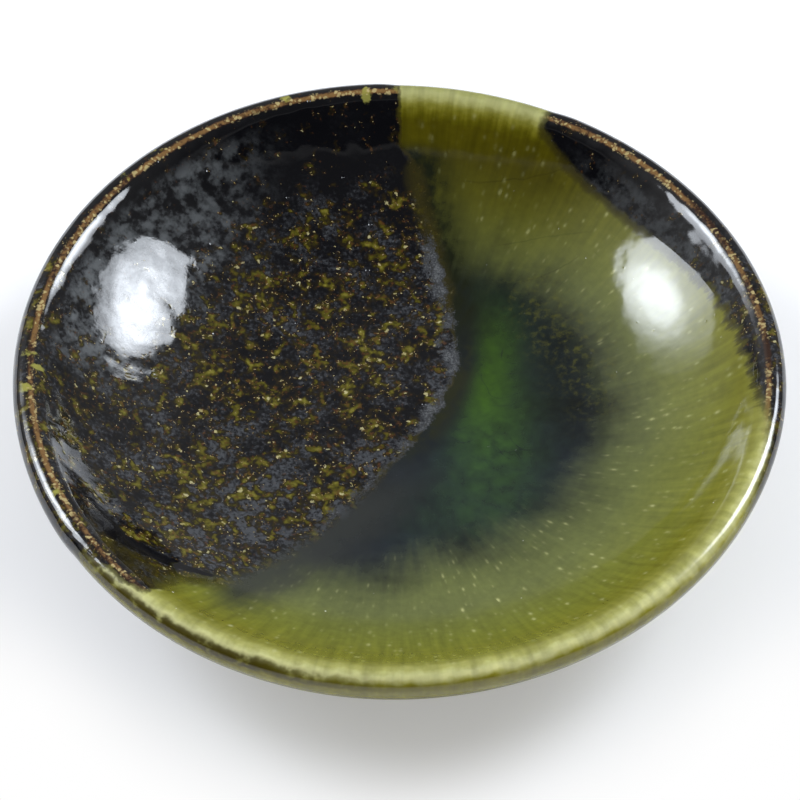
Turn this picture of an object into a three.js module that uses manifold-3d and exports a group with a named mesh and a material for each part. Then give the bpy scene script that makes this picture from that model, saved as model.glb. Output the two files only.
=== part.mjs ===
// Small glazed stoneware dish, in millimetres with +Z up, standing on z = 0.
// A thrown and turned clay body carries an olive glaze coat over its well, lip and outer wall.
// Black glaze is poured over two sides of the rim, and green glass has pooled in the well.
// The front of the dish faces -Y and its right side is +X.

import * as THREE from "three";
import { mergeVertices } from "three/addons/utils/BufferGeometryUtils.js";
import Module from "manifold-3d";

const wasm = await Module();
wasm.setup();

// Clay body: lip and well
const BODY_RADIUS = 47.45; // outermost clay, at the lip
const LIP_RADIUS = 1.45; // half the lip's thickness, rounded over
const WELL_DEPTH = 14.8; // from the top of the lip down to the middle of the well
const WELL_SWEEP = 16; // reach of the level floor into the well's curve
const WALL_SWEEP = 16; // reach of the inner wall's slope into the well's curve
const WALL_SLOPE = 50; // degrees, of the inner wall where it meets the lip
const FLOOR_THICKNESS = 4.2; // clay between the well and the recess under it

// Clay body: outer wall and turned foot ring
const SHOULDER_SWEEP = 4; // reach of the upright outer lip into the wall's curve
const BELLY_SWEEP = 16; // reach of the slope above the foot into the wall's curve
const BELLY_SLOPE = 25; // degrees, of the outer wall where it leaves the foot
const FOOT_RADIUS = 25; // outer edge of the ring near the table
const FOOT_WIDTH = 4.2; // across the ring near the table
const FOOT_HEIGHT = 3.6; // from the table up to where the wall begins
const FOOT_FLARE = 0.8; // widening of the ring on each side towards its root
const FOOT_CHAMFER = 0.5; // edges of the ring wiped off with a sponge
const RECESS_DEPTH = 2.6; // turned hollow inside the ring

// Olive glaze coat
const COAT_THICKNESS = 0.5; // on the well and the walls
const LIP_COAT = 0.3; // where the glaze draws thin over the lip
const BREAK_WIDTH = 4; // distance from the lip's top at which the glaze is full again
const GLAZE_STOP = 1.6; // bare clay between the foot and the lower edge of the glaze

// Black glaze pours
const POUR_THICKNESS = 0.35;
const LIP_POUR = 0.15; // where the glaze draws thin over the lip

// Ends of the pours in degrees about +Z, counted from +X towards the back
const LEFT_BACK = 89.5;
const LEFT_FRONT = 227; // on the inner face of the lip
const LEFT_FRONT_OUTSIDE = 213; // on the outer face of the lip
const RIGHT_BACK = 65;
const RIGHT_FRONT = -13; // on the inner face of the lip
const RIGHT_FRONT_OUTSIDE = -28; // on the outer face of the lip

// Edges of the pours in the well, seen from above
const NOSE_RIGHT = 7.4; // how far the left pour runs past the middle
const NOSE_BACK = 7; // how far behind the middle it runs furthest
const NOSE_SWEEP_BACK = 13;
const NOSE_SWEEP_FRONT = 10;
const LEFT_BACK_SWEEP = 14; // reach of the edge's course at the back rim
const LEFT_BACK_COURSE = -86; // degrees
const LEFT_FRONT_SWEEP = 18; // reach of the edge's course at the front rim
const LEFT_FRONT_COURSE = 20; // degrees
const RIGHT_SWEEP = 17;
const RIGHT_BACK_COURSE = -53; // degrees
const RIGHT_FRONT_COURSE = 97; // degrees

// Green glass that has run together in the middle of the well
const POOL_RADIUS = 26;
const POOL_DEPTH = 1.1; // over the coat, at the middle
const POOL_EDGE = 0.15; // thickness at which the glass ends

// Out-of-round left by the throwing
const OVAL_AMOUNT = 0.13;
const OVAL_COURSE = -45; // degrees
const LOBE_AMOUNT = 0.23;
const LOBE_COURSE = 8; // degrees

// Hair gap that keeps fused layers apart as separate solids
const BOND_GAP = 0.03;

// Fineness of the surfaces
const SEGMENTS = 54;
const POOL_STEPS = 6;
const WALL_STEPS = 6;
const LIP_STEPS = 3;
const OUTSIDE_STEPS = 9;
const ROOT_STEPS = 2;
const EDGE_STEPS = 12;
const WELD_DISTANCE = 1e-4;
const SLIVER_WIDTH = 0.01;
const PLACE_TOLERANCE = 1e-6; // share of a curve
const COLUMN_MARGIN = 1.5; // by which the columns that cut the pours stand clear of the clay

const FLOOR_LEVEL = RECESS_DEPTH + FLOOR_THICKNESS;
const LIP_TOP = FLOOR_LEVEL + WELL_DEPTH;
const LIP_CENTRE = new THREE.Vector2(BODY_RADIUS - LIP_RADIUS, LIP_TOP - LIP_RADIUS);
const ROOT = new THREE.Vector2(FOOT_RADIUS + FOOT_FLARE, FOOT_HEIGHT);

/** A unit vector at an angle in degrees. */
function heading(degrees) {
  const angle = THREE.MathUtils.degToRad(degrees);
  return new THREE.Vector2(Math.cos(angle), Math.sin(angle));
}

/** The point that lies a distance away from another along an angle in degrees. */
function along(point, degrees, distance) {
  return point.clone().addScaledVector(heading(degrees), distance);
}

/** Stations on part of a section curve, each a point and the direction out of the clay. */
function stationsOn(curve, steps, from = 0, to = 1) {
  const stations = [];
  for (let i = 0; i <= steps; i += 1) {
    const t = THREE.MathUtils.lerp(from, to, i / steps);
    const tangent = curve.getTangent(t);
    stations.push({ point: curve.getPoint(t), normal: new THREE.Vector2(-tangent.y, tangent.x) });
  }
  return stations;
}

/** The place along a curve up to which its points pass a test, found by halving. */
function placeWhile(curve, passes) {
  let inside = 0;
  let outside = 1;
  while (outside - inside > PLACE_TOLERANCE) {
    const middle = (inside + outside) / 2;
    if (passes(curve.getPoint(middle))) {
      inside = middle;
    } else {
      outside = middle;
    }
  }
  return inside;
}

/** Writes on each station how far it lies along the section from the top of the lip. */
function measureFromCrest(stations) {
  stations[0].fromCrest = 0;
  for (let i = 1; i < stations.length; i += 1) {
    const step = stations[i].point.distanceTo(stations[i - 1].point);
    stations[i].fromCrest = stations[i - 1].fromCrest + step;
  }
}

/** The section of the clay: the glazed inside and outside, and the bare wall above the foot. */
function makeSection() {
  const wallTop = along(LIP_CENTRE, 90 + WALL_SLOPE, LIP_RADIUS);
  const well = new THREE.CubicBezierCurve(
    new THREE.Vector2(0, FLOOR_LEVEL),
    new THREE.Vector2(WELL_SWEEP, FLOOR_LEVEL),
    along(wallTop, 180 + WALL_SLOPE, WALL_SWEEP),
    wallTop,
  );
  const lipArc = (from, to) => new THREE.EllipseCurve(
    LIP_CENTRE.x,
    LIP_CENTRE.y,
    LIP_RADIUS,
    LIP_RADIUS,
    THREE.MathUtils.degToRad(from),
    THREE.MathUtils.degToRad(to),
    true,
  );
  const shoulder = along(LIP_CENTRE, 0, LIP_RADIUS);
  const wall = new THREE.CubicBezierCurve(
    shoulder,
    along(shoulder, -90, SHOULDER_SWEEP),
    along(ROOT, BELLY_SLOPE, BELLY_SWEEP),
    ROOT,
  );
  const poolEnd = placeWhile(well, (point) => point.x < POOL_RADIUS);
  const glazeEnd = placeWhile(wall, (point) => point.y > FOOT_HEIGHT + GLAZE_STOP);

  const pool = stationsOn(well, POOL_STEPS, 0, poolEnd);
  pool.forEach((station) => Object.assign(station, { inPool: true }));
  const inside = [
    ...pool,
    ...stationsOn(well, WALL_STEPS, poolEnd, 1).slice(1),
    ...stationsOn(lipArc(90 + WALL_SLOPE, 90), LIP_STEPS).slice(1),
  ];
  const outside = [
    ...stationsOn(lipArc(90, 0), LIP_STEPS).slice(1),
    ...stationsOn(wall, OUTSIDE_STEPS, 0, glazeEnd).slice(1),
  ];
  const bare = stationsOn(wall, ROOT_STEPS, glazeEnd, 1).slice(1);
  measureFromCrest([...inside].reverse());
  measureFromCrest([inside.at(-1), ...outside]);
  return { pool, glazed: [...inside, ...outside], bare };
}

/** A layer's thickness at a station, drawn thin towards the top of the lip. */
function drawnThin(station, atLip, full) {
  return THREE.MathUtils.lerp(atLip, full, THREE.MathUtils.smoothstep(station.fromCrest, 0, BREAK_WIDTH));
}

/** The profile that lies a thickness, given for each station, outside the clay. */
function profileOver(stations, thickness) {
  return stations.map((station) => {
    const point = station.point.clone().addScaledVector(station.normal, thickness(station));
    point.x = Math.max(point.x, 0);
    return point;
  });
}

/** How deep the run-together glass lies at a station, fullest in the middle of the well. */
function glassDepth(station) {
  const fullness = 1 - (station.point.x / POOL_RADIUS) ** 2;
  return station.inPool ? Math.max(POOL_DEPTH * fullness, POOL_EDGE) : 0;
}

const coatTop = (station) => drawnThin(station, LIP_COAT, COAT_THICKNESS);
const pourDepth = (station) => drawnThin(station, LIP_POUR, POUR_THICKNESS);
const pourBottom = (station) => coatTop(station) + BOND_GAP;
const glassTop = (station) => pourBottom(station) + glassDepth(station);
const pourTop = (station) => pourBottom(station) + Math.max(pourDepth(station), glassDepth(station));

/** A solid turned about +Z from a profile that keeps the solid on its right hand. */
function turned(profile) {
  return new THREE.LatheGeometry([...profile].reverse(), SEGMENTS).rotateX(Math.PI / 2);
}

/** The solid of a closed geometry, ready to be cut and joined. */
function solidOf(geometry) {
  const bare = geometry.clone();
  bare.deleteAttribute("normal");
  bare.deleteAttribute("uv");
  const welded = mergeVertices(bare, WELD_DISTANCE);
  const mesh = new wasm.Mesh({
    numProp: 3,
    vertProperties: new Float32Array(welded.attributes.position.array),
    triVerts: new Uint32Array(welded.index.array),
  });
  return new wasm.Manifold(mesh);
}

/** The geometry of a cut solid, with the hair-thin slivers that the cut leaves welded shut. */
function geometryOf(solid) {
  const mesh = solid.getMesh();
  const geometry = new THREE.BufferGeometry();
  geometry.setAttribute("position", new THREE.BufferAttribute(mesh.vertProperties, 3));
  geometry.setIndex(new THREE.BufferAttribute(mesh.triVerts, 1));
  const welded = mergeVertices(geometry, SLIVER_WIDTH);
  const corners = welded.index.array;
  const kept = [];
  for (let i = 0; i < corners.length; i += 3) {
    const triangle = corners.slice(i, i + 3);
    if (new Set(triangle).size === 3) {
      kept.push(...triangle);
    }
  }
  welded.setIndex(kept);
  return welded;
}

/** The point on the inner face of the lip at an angle in degrees, seen from above. */
function insideLip(degrees) {
  return heading(degrees).multiplyScalar(LIP_CENTRE.x - LIP_RADIUS);
}

/** The edge of a pour, seen from above, as one or more curves joined end to end. */
function edgeOf(...curves) {
  const edge = new THREE.CurvePath();
  curves.forEach((curve) => edge.add(curve));
  return edge;
}

/** The left pour's edge in the well, from the front rim round its nose to the back rim. */
function leftEdge() {
  const front = insideLip(LEFT_FRONT);
  const back = insideLip(LEFT_BACK);
  const nose = new THREE.Vector2(NOSE_RIGHT, NOSE_BACK);
  return edgeOf(
    new THREE.CubicBezierCurve(
      front,
      along(front, LEFT_FRONT_COURSE, LEFT_FRONT_SWEEP),
      along(nose, -90, NOSE_SWEEP_FRONT),
      nose,
    ),
    new THREE.CubicBezierCurve(
      nose,
      along(nose, 90, NOSE_SWEEP_BACK),
      along(back, LEFT_BACK_COURSE, LEFT_BACK_SWEEP),
      back,
    ),
  );
}

/** The right pour's edge in the well, from the back rim to the front rim. */
function rightEdge() {
  const back = insideLip(RIGHT_BACK);
  const front = insideLip(RIGHT_FRONT);
  return edgeOf(
    new THREE.CubicBezierCurve(
      back,
      along(back, RIGHT_BACK_COURSE, RIGHT_SWEEP),
      along(front, RIGHT_FRONT_COURSE, RIGHT_SWEEP),
      front,
    ),
  );
}

/** An upright solid over the part of the dish between an arc outside the rim and an edge. */
function columnOver(startDegrees, endDegrees, edge) {
  const start = THREE.MathUtils.degToRad(startDegrees);
  const end = THREE.MathUtils.degToRad(endDegrees);
  const outline = new THREE.Shape();
  outline.absarc(0, 0, BODY_RADIUS + COLUMN_MARGIN, start, end, false);
  edge.getPoints(EDGE_STEPS).forEach((point) => outline.lineTo(point.x, point.y));
  outline.closePath();
  const depth = LIP_TOP + COLUMN_MARGIN;
  return new THREE.ExtrudeGeometry(outline, { depth, bevelEnabled: false, curveSegments: EDGE_STEPS });
}

const section = makeSection();

/** Clay: the section down to the foot, the ring with its wiped edges and the recess. */
function clayBody() {
  const ringInside = FOOT_RADIUS - FOOT_WIDTH;
  const foot = [
    new THREE.Vector2(FOOT_RADIUS, FOOT_CHAMFER),
    new THREE.Vector2(FOOT_RADIUS - FOOT_CHAMFER, 0),
    new THREE.Vector2(ringInside + FOOT_CHAMFER, 0),
    new THREE.Vector2(ringInside, FOOT_CHAMFER),
    new THREE.Vector2(ringInside - FOOT_FLARE, RECESS_DEPTH),
    new THREE.Vector2(0, RECESS_DEPTH),
  ];
  return turned([...profileOver([...section.glazed, ...section.bare], () => 0), ...foot]);
}

/** Olive coat: one layer from the middle of the well over the lip to the glaze line. */
function oliveCoat() {
  const top = profileOver(section.glazed, coatTop);
  const bottom = profileOver(section.glazed, () => BOND_GAP);
  return turned([...top, ...bottom.reverse()]);
}

/** A black pour: a layer over well, lip and outer wall, cut off at the pour's edge. */
function blackPour(column) {
  const top = profileOver(section.glazed, pourTop);
  const bottom = profileOver(section.glazed, pourBottom);
  const layer = solidOf(turned([...top, ...bottom.reverse()]));
  return geometryOf(layer.intersect(solidOf(column)));
}

/** Green glass: a lens that lies in the coated well and ends at the left pour. */
function greenPool(pourColumn) {
  const top = profileOver(section.pool, glassTop);
  const bottom = profileOver(section.pool, pourBottom);
  const glass = solidOf(turned([...top, ...bottom.reverse()]));
  const pour = solidOf(pourColumn.clone().translate(BOND_GAP, -BOND_GAP, 0));
  return geometryOf(glass.subtract(pour));
}

/** Presses a geometry out of round: an oval and a three-lobed swell about +Z. */
function thrownByHand(geometry) {
  const position = geometry.attributes.position;
  for (let i = 0; i < position.count; i += 1) {
    const angle = THREE.MathUtils.radToDeg(Math.atan2(position.getY(i), position.getX(i)));
    const oval = OVAL_AMOUNT * heading(2 * (angle - OVAL_COURSE)).x;
    const lobes = LOBE_AMOUNT * heading(3 * (angle - LOBE_COURSE)).x;
    const swell = 1 + (oval + lobes) / BODY_RADIUS;
    position.setXY(i, position.getX(i) * swell, position.getY(i) * swell);
  }
  geometry.computeVertexNormals();
  return geometry;
}

/** A named mesh with its own finish. */
function piece(name, geometry, color, roughness) {
  const material = new THREE.MeshStandardMaterial({ color, roughness, metalness: 0 });
  const mesh = new THREE.Mesh(thrownByHand(geometry), material);
  mesh.name = name;
  return mesh;
}

const leftColumn = columnOver(LEFT_BACK, LEFT_FRONT_OUTSIDE, leftEdge());
const rightColumn = columnOver(RIGHT_FRONT_OUTSIDE, RIGHT_BACK, rightEdge());

const dish = new THREE.Group();
dish.add(
  piece("clay_body", clayBody(), 0xa58c6c, 0.85),
  piece("olive_glaze_coat", oliveCoat(), 0x737c33, 0.12),
  piece("black_glaze_pour_left", blackPour(leftColumn), 0x1c1b1a, 0.14),
  piece("black_glaze_pour_right", blackPour(rightColumn), 0x1a1a1d, 0.12),
  piece("green_glaze_pool", greenPool(leftColumn), 0x39522b, 0.06),
);

export default dish;
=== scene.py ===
"""A small round stoneware dish with three run glazes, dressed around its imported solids.

Lengths are in metres and angles in degrees. The dish stands on z = 0, its front faces -Y and its right
side is +X. The shader fields that say where a point of glaze lies are in millimetres, because glaze marks
are that small.
"""

import logging
import math
from collections.abc import Callable
from dataclasses import dataclass
from enum import Enum

import bpy
import numpy as np
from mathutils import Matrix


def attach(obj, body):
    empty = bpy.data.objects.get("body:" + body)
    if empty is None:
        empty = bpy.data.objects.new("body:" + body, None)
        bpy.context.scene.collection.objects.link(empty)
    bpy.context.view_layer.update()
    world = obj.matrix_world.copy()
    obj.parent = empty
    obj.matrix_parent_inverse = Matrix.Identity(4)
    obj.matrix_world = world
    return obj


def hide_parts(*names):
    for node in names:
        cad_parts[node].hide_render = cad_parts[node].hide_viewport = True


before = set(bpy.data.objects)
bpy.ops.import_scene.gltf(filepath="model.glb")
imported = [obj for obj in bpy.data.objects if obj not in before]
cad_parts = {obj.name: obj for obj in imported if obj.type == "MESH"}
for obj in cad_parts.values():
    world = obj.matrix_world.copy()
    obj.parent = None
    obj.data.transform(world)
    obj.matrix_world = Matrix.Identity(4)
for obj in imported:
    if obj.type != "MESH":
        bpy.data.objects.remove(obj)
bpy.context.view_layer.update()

MM = 0.001
PICTURE_SIDE = 800
SENSOR_WIDTH = 36.0
BODY = "root"
CHART_NAME = "OFBake"
TURN = 2.0 * math.pi
TINY = 1e-12
SHARP_ANGLE = 45.0

# How far past the rim a pour's outline runs, and the radius at which it is closed round the outside
PAST_RIM = 1.5 * MM
ROUND_OUTSIDE = 90.0 * MM
RUN_OUT_POINTS = 19
OUTSIDE_POINTS = 9
LONG_OUTLINE = 90

# Shares of a flat chart that the top and the hidden underside of a layer take
SHOWN_SHARE = 0.85
HIDDEN_SHARE = 0.13

# How far one step of a seed shifts a pattern
NOISE_STRIDE = (17.3, 41.7, 9.1)
CELL_STRIDE = (23.9, 11.3, 31.1)

log = logging.getLogger("dish")

Array = np.ndarray
Colour = tuple[float, float, float]


class Slot(Enum):
    """The record's material slots."""

    CLAY = "bare_stoneware"
    OLIVE = "olive_glaze"
    BLACK = "black_glaze"
    GREEN = "green_glass"


class Mark(Enum):
    """Names of the attributes that say, in millimetres, where a point of glaze lies."""

    CREST = "from_crest"
    LEFT = "into_left_pour"
    RIGHT = "into_right_pour"


def smoothstep(low: float, high: float, value: Array) -> Array:
    """Rises from 0 at low to 1 at high as 3t^2 - 2t^3.

    Args:
        low: Where the rise starts.
        high: Where the rise ends.
        value: Numbers to map.

    Returns:
        The mapped numbers.
    """
    t = np.clip((value - low) / (high - low), 0.0, 1.0)
    return t * t * (3.0 - 2.0 * t)


def facing(angle: Array | float) -> Array:
    """Unit vectors at angles in radians, counted from +X towards +Y."""
    return np.stack([np.cos(angle), np.sin(angle)], axis=-1)


def heading(degrees: Array | float) -> Array:
    """Unit vectors at angles in degrees, counted from +X towards +Y."""
    return facing(np.radians(degrees))


def cubic(start: Array, pull: Array, push: Array, end: Array, count: int) -> Array:
    """Points on a cubic Bezier curve.

    A point is the sum of the four corners weighted by (1-t)^3, 3t(1-t)^2, 3t^2(1-t) and t^3.

    Args:
        start: First point.
        pull: Corner that the curve leaves towards.
        push: Corner that the curve arrives from.
        end: Last point.
        count: How many points.

    Returns:
        Points in rows.
    """
    t = np.linspace(0.0, 1.0, count)[:, None]
    u = 1.0 - t
    return u**3 * start + 3 * u**2 * t * pull + 3 * u * t**2 * push + t**3 * end


def lengths(points: Array) -> Array:
    """Distance of each point of a line from its start, the sum of the steps before it."""
    steps = np.linalg.norm(np.diff(points, axis=0), axis=1)
    return np.concatenate([[0.0], np.cumsum(steps)])


def evenly(points: Array, count: int) -> Array:
    """Points at equal steps along a line of points, by linear interpolation over its length.

    Args:
        points: The line, in rows.
        count: How many points to place.

    Returns:
        Points in rows.
    """
    length = lengths(points)
    at = np.linspace(0.0, length[-1], count)
    return np.stack([np.interp(at, length, points[:, k]) for k in range(points.shape[1])], axis=-1)


@dataclass(frozen=True)
class Section:
    """A line of clay surface seen in section, with the direction out of the clay at each point."""

    arc: Array
    radius: Array
    height: Array
    out_radius: Array
    out_height: Array

    @classmethod
    def along(cls, points: Array) -> "Section":
        """Measures a line: its arc is the sum of its steps, and outwards is its tangent turned left.

        Args:
            points: Radius and height in rows, with the clay on the right hand.

        Returns:
            The measured section.
        """
        arc = lengths(points)
        tangent = np.gradient(points, arc, axis=0)
        tangent /= np.linalg.norm(tangent, axis=1)[:, None]
        return cls(arc, points[:, 0], points[:, 1], -tangent[:, 1], tangent[:, 0])

    @property
    def crest(self) -> float:
        """Arc of the highest point, the top of the lip."""
        return float(self.arc[np.argmax(self.height)])

    def place(self, arc: Array, depth: Array) -> tuple[Array, Array]:
        """Radius and height of points that lie a depth outside the clay.

        Args:
            arc: Distance along the section.
            depth: Distance out of the clay.

        Returns:
            Radius and height.
        """
        radius = np.interp(arc, self.arc, self.radius) + depth * np.interp(arc, self.arc, self.out_radius)
        height = np.interp(arc, self.arc, self.height) + depth * np.interp(arc, self.arc, self.out_height)
        return np.maximum(radius, 0.0), height

    def radius_at(self, arc: Array) -> Array:
        """Radius of the clay at an arc."""
        return np.interp(arc, self.arc, self.radius)

    def arc_inside(self, radius: Array) -> Array:
        """Arc at which the well has a radius, from its middle to the top of the lip."""
        inside = self.arc <= self.crest
        return np.interp(radius, self.radius[inside], self.arc[inside])

    def arc_outside(self, radius: float) -> float:
        """Arc at which the outer wall, below the lip, has a radius."""
        wall = self.arc >= self.arc[np.argmax(self.radius)]
        return float(np.interp(-radius, -self.radius[wall], self.arc[wall]))

    def arc_at_height(self, height: float) -> float:
        """Arc at which the outer wall comes down to a height."""
        wall = self.arc >= self.crest
        return float(np.interp(-height, -self.height[wall], self.arc[wall]))


@dataclass(frozen=True)
class ThrownClay:
    """Sizes of the thrown and turned clay."""

    body_radius: float = 47.45 * MM
    lip_radius: float = 1.45 * MM
    lip_round: float = 1.25 * MM
    lip_bevel: float = 3.0 * MM
    bevel_end: float = 26.0
    well_depth: float = 14.8 * MM
    well_sweep: float = 16.0 * MM
    wall_sweep: float = 16.0 * MM
    wall_slope: float = 50.0
    floor_thickness: float = 4.2 * MM
    shoulder_sweep: float = 4.0 * MM
    belly_sweep: float = 16.0 * MM
    belly_slope: float = 25.0
    foot_radius: float = 25.0 * MM
    foot_width: float = 4.2 * MM
    foot_height: float = 3.6 * MM
    foot_flare: float = 0.8 * MM
    foot_chamfer: float = 0.5 * MM
    recess_depth: float = 2.6 * MM
    glaze_stop: float = 1.6 * MM
    oval_amount: float = 0.13 * MM
    oval_course: float = -45.0
    lobe_amount: float = 0.23 * MM
    lobe_course: float = 8.0
    corner_reach: float = 1.6
    corner_pull: float = 0.45
    curve_points: int = 401
    bevel_points: int = 61
    lip_points: int = 121
    corner_points: int = 12

    @property
    def inside_lip(self) -> float:
        """Radius of the lip's inner face."""
        return self.body_radius - 2.0 * self.lip_radius

    @property
    def root(self) -> Array:
        """Where the outer wall meets the foot ring, as radius and height."""
        return np.array([self.foot_radius + self.foot_flare, self.foot_height])

    def wall_points(self) -> Array:
        """The section from the middle of the well over the lip to the root of the foot.

        The well and the outer wall are cubic curves. The lip between them is two arcs of circles that meet
        without a corner, a wide one inside and a narrow one over the top.

        Returns:
            Radius and height in rows.
        """
        floor = self.recess_depth + self.floor_thickness
        join = 90.0 + self.bevel_end
        centre = np.array([self.body_radius - self.lip_round, floor + self.well_depth - self.lip_round])
        below = centre + (self.lip_round - self.lip_bevel) * heading(join)
        bevel_turn = np.linspace(90.0 + self.wall_slope, join, self.bevel_points)
        top_turn = np.linspace(join, 0.0, self.lip_points)[1:]
        bevel = below + self.lip_bevel * heading(bevel_turn)
        lip = np.concatenate([bevel, centre + self.lip_round * heading(top_turn)])
        well = cubic(
            np.array([0.0, floor]),
            np.array([self.well_sweep, floor]),
            lip[0] - self.wall_sweep * heading(self.wall_slope),
            lip[0],
            self.curve_points,
        )
        wall = cubic(
            lip[-1],
            lip[-1] + self.shoulder_sweep * heading(-90.0),
            self.root + self.belly_sweep * heading(self.belly_slope),
            self.root,
            self.curve_points,
        )
        return np.concatenate([well, lip[1:], wall[1:]])

    def foot_points(self) -> Array:
        """The section of the foot ring and the recess, from the root to the middle of the underside.

        Each corner is rounded by a cubic curve from one of its sides to the other.

        Returns:
            Radius and height in rows.
        """
        inner = self.foot_radius - self.foot_width
        line = np.array(
            [
                self.root,
                [self.foot_radius, 0.0],
                [inner, 0.0],
                [inner - self.foot_flare, self.recess_depth],
                [0.0, self.recess_depth],
            ]
        )
        reach = self.corner_reach * self.foot_chamfer
        pull = self.corner_pull * reach
        points = []
        for before, corner, after in zip(line, line[1:], line[2:]):
            into = (before - corner) / np.linalg.norm(before - corner)
            out = (after - corner) / np.linalg.norm(after - corner)
            first, last = corner + reach * into, corner + reach * out
            points.append(cubic(first, corner + pull * into, corner + pull * out, last, self.corner_points))
        return np.concatenate([*points, line[-1:]])

    def section(self) -> Section:
        """The measured section of the part that can carry glaze."""
        return Section.along(self.wall_points())

    def glaze_line(self) -> float:
        """Height of the lower edge of the glaze."""
        return self.foot_height + self.glaze_stop

    def spin(self, radius: Array, height: Array, angle: Array) -> Array:
        """Points turned about +Z, on a radius that the throwing left a little oval and three-lobed.

        Args:
            radius: Distance from the axis.
            height: Height over the table.
            angle: Turn about the axis, in radians.

        Returns:
            Points, with x, y and z in the last axis.
        """
        oval = self.oval_amount * np.cos(2.0 * (angle - math.radians(self.oval_course)))
        lobes = self.lobe_amount * np.cos(3.0 * (angle - math.radians(self.lobe_course)))
        drawn = radius * (1.0 + (oval + lobes) / self.body_radius)
        return np.stack([drawn * np.cos(angle), drawn * np.sin(angle), height], axis=-1)


@dataclass(frozen=True)
class PourEdge:
    """The edge of a poured glaze seen from above, from the front of the rim round the well to its back.

    The line starts and ends outside the rim, and the glaze lies between it and the rim.
    """

    line: Array
    front: float
    back: float
    lead: int

    @classmethod
    def between(
        cls, curves: list[Array], crest: float, outside: float, back: float, clay: ThrownClay
    ) -> "PourEdge":
        """Joins the curves of an edge in the well with its two runs out over the lip.

        At the front the radius grows in even steps while the angle goes evenly from the end of the curve to
        its value on the crest of the lip, and then to its value on the outside.

        Args:
            curves: Point rows in order, from the front to the back.
            crest: Angle at which the edge crosses the crest of the lip at the front.
            outside: Angle that it reaches on the outside of the lip.
            back: Angle at which it leaves the rim at the back.
            clay: The clay that the edge crosses.

        Returns:
            The edge.
        """
        beyond = clay.body_radius + PAST_RIM
        start = math.degrees(math.atan2(curves[0][0, 1], curves[0][0, 0]))
        start += 360.0 * round((crest - start) / 360.0)
        stations = [beyond, clay.body_radius, clay.body_radius - clay.lip_radius, clay.inside_lip]
        courses = [outside, outside, crest, start]
        station = np.arange(len(stations))
        share = np.linspace(0.0, station[-1], RUN_OUT_POINTS)[:-1]
        radius = np.interp(share, station, stations)
        course = np.interp(share, station, courses)
        run_out = radius[:, None] * heading(course)
        line = np.concatenate([run_out, *curves, [beyond * heading(back)]])
        return cls(line, outside, back, len(run_out))

    def inner(self) -> Array:
        """The edge in the well, without its runs out over the lip."""
        return self.line[self.lead : -1]

    def sides(self, radius: Array) -> tuple[Array, Array]:
        """Angles, in radians, at which the front and back halves of the edge cross a circle about the axis.

        Each is turned by whole turns to lie nearest to the angle at which that half leaves the rim.

        Args:
            radius: Radius of the circle.

        Returns:
            The front and the back angle.
        """
        far = np.linalg.norm(self.line, axis=1)
        turn = np.unwrap(np.arctan2(self.line[:, 1], self.line[:, 0]))
        split = int(np.argmin(far))
        front = np.interp(radius, far[: split + 1][::-1], turn[: split + 1][::-1])
        back = np.interp(radius, far[split:], turn[split:])
        front = front + TURN * np.round((math.radians(self.front) - front) / TURN)
        back = back + TURN * np.round((math.radians(self.back) - back) / TURN)
        return front, back

    def into(self, points: Array) -> Array:
        """How far points lie inside the poured glaze, negative outside it.

        The distance is to the nearest step of the edge, and a long edge is measured at every other point.
        The sign counts how often a ray towards +X crosses the edge closed round outside the rim.

        Args:
            points: Places seen from above, with x and y in the last axis.

        Returns:
            Signed distances.
        """
        flat = points.reshape(-1, 1, 2)
        line = self.line[::2] if len(self.line) > LONG_OUTLINE else self.line
        line = np.concatenate([line, self.line[-1:]])
        start, step = line[:-1], np.diff(line, axis=0)
        share = ((flat - start) * step).sum(-1) / np.maximum((step**2).sum(-1), TINY**2)
        nearest = start + np.clip(share, 0.0, 1.0)[..., None] * step
        distance = np.linalg.norm(flat - nearest, axis=-1).min(axis=1)
        round_outside = ROUND_OUTSIDE * heading(np.linspace(self.back, self.front, OUTSIDE_POINTS))
        ring = np.concatenate([line, round_outside, line[:1]])
        a, b = ring[:-1], ring[1:]
        spans = (a[:, 1] > flat[..., 1]) != (b[:, 1] > flat[..., 1])
        rise = np.where(np.abs(b[:, 1] - a[:, 1]) < TINY, TINY, b[:, 1] - a[:, 1])
        cross = a[:, 0] + (flat[..., 1] - a[:, 1]) / rise * (b[:, 0] - a[:, 0])
        odd = ((spans & (flat[..., 0] < cross)).sum(axis=1) % 2) == 1
        return np.where(odd, distance, -distance).reshape(points.shape[:-1])


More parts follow.
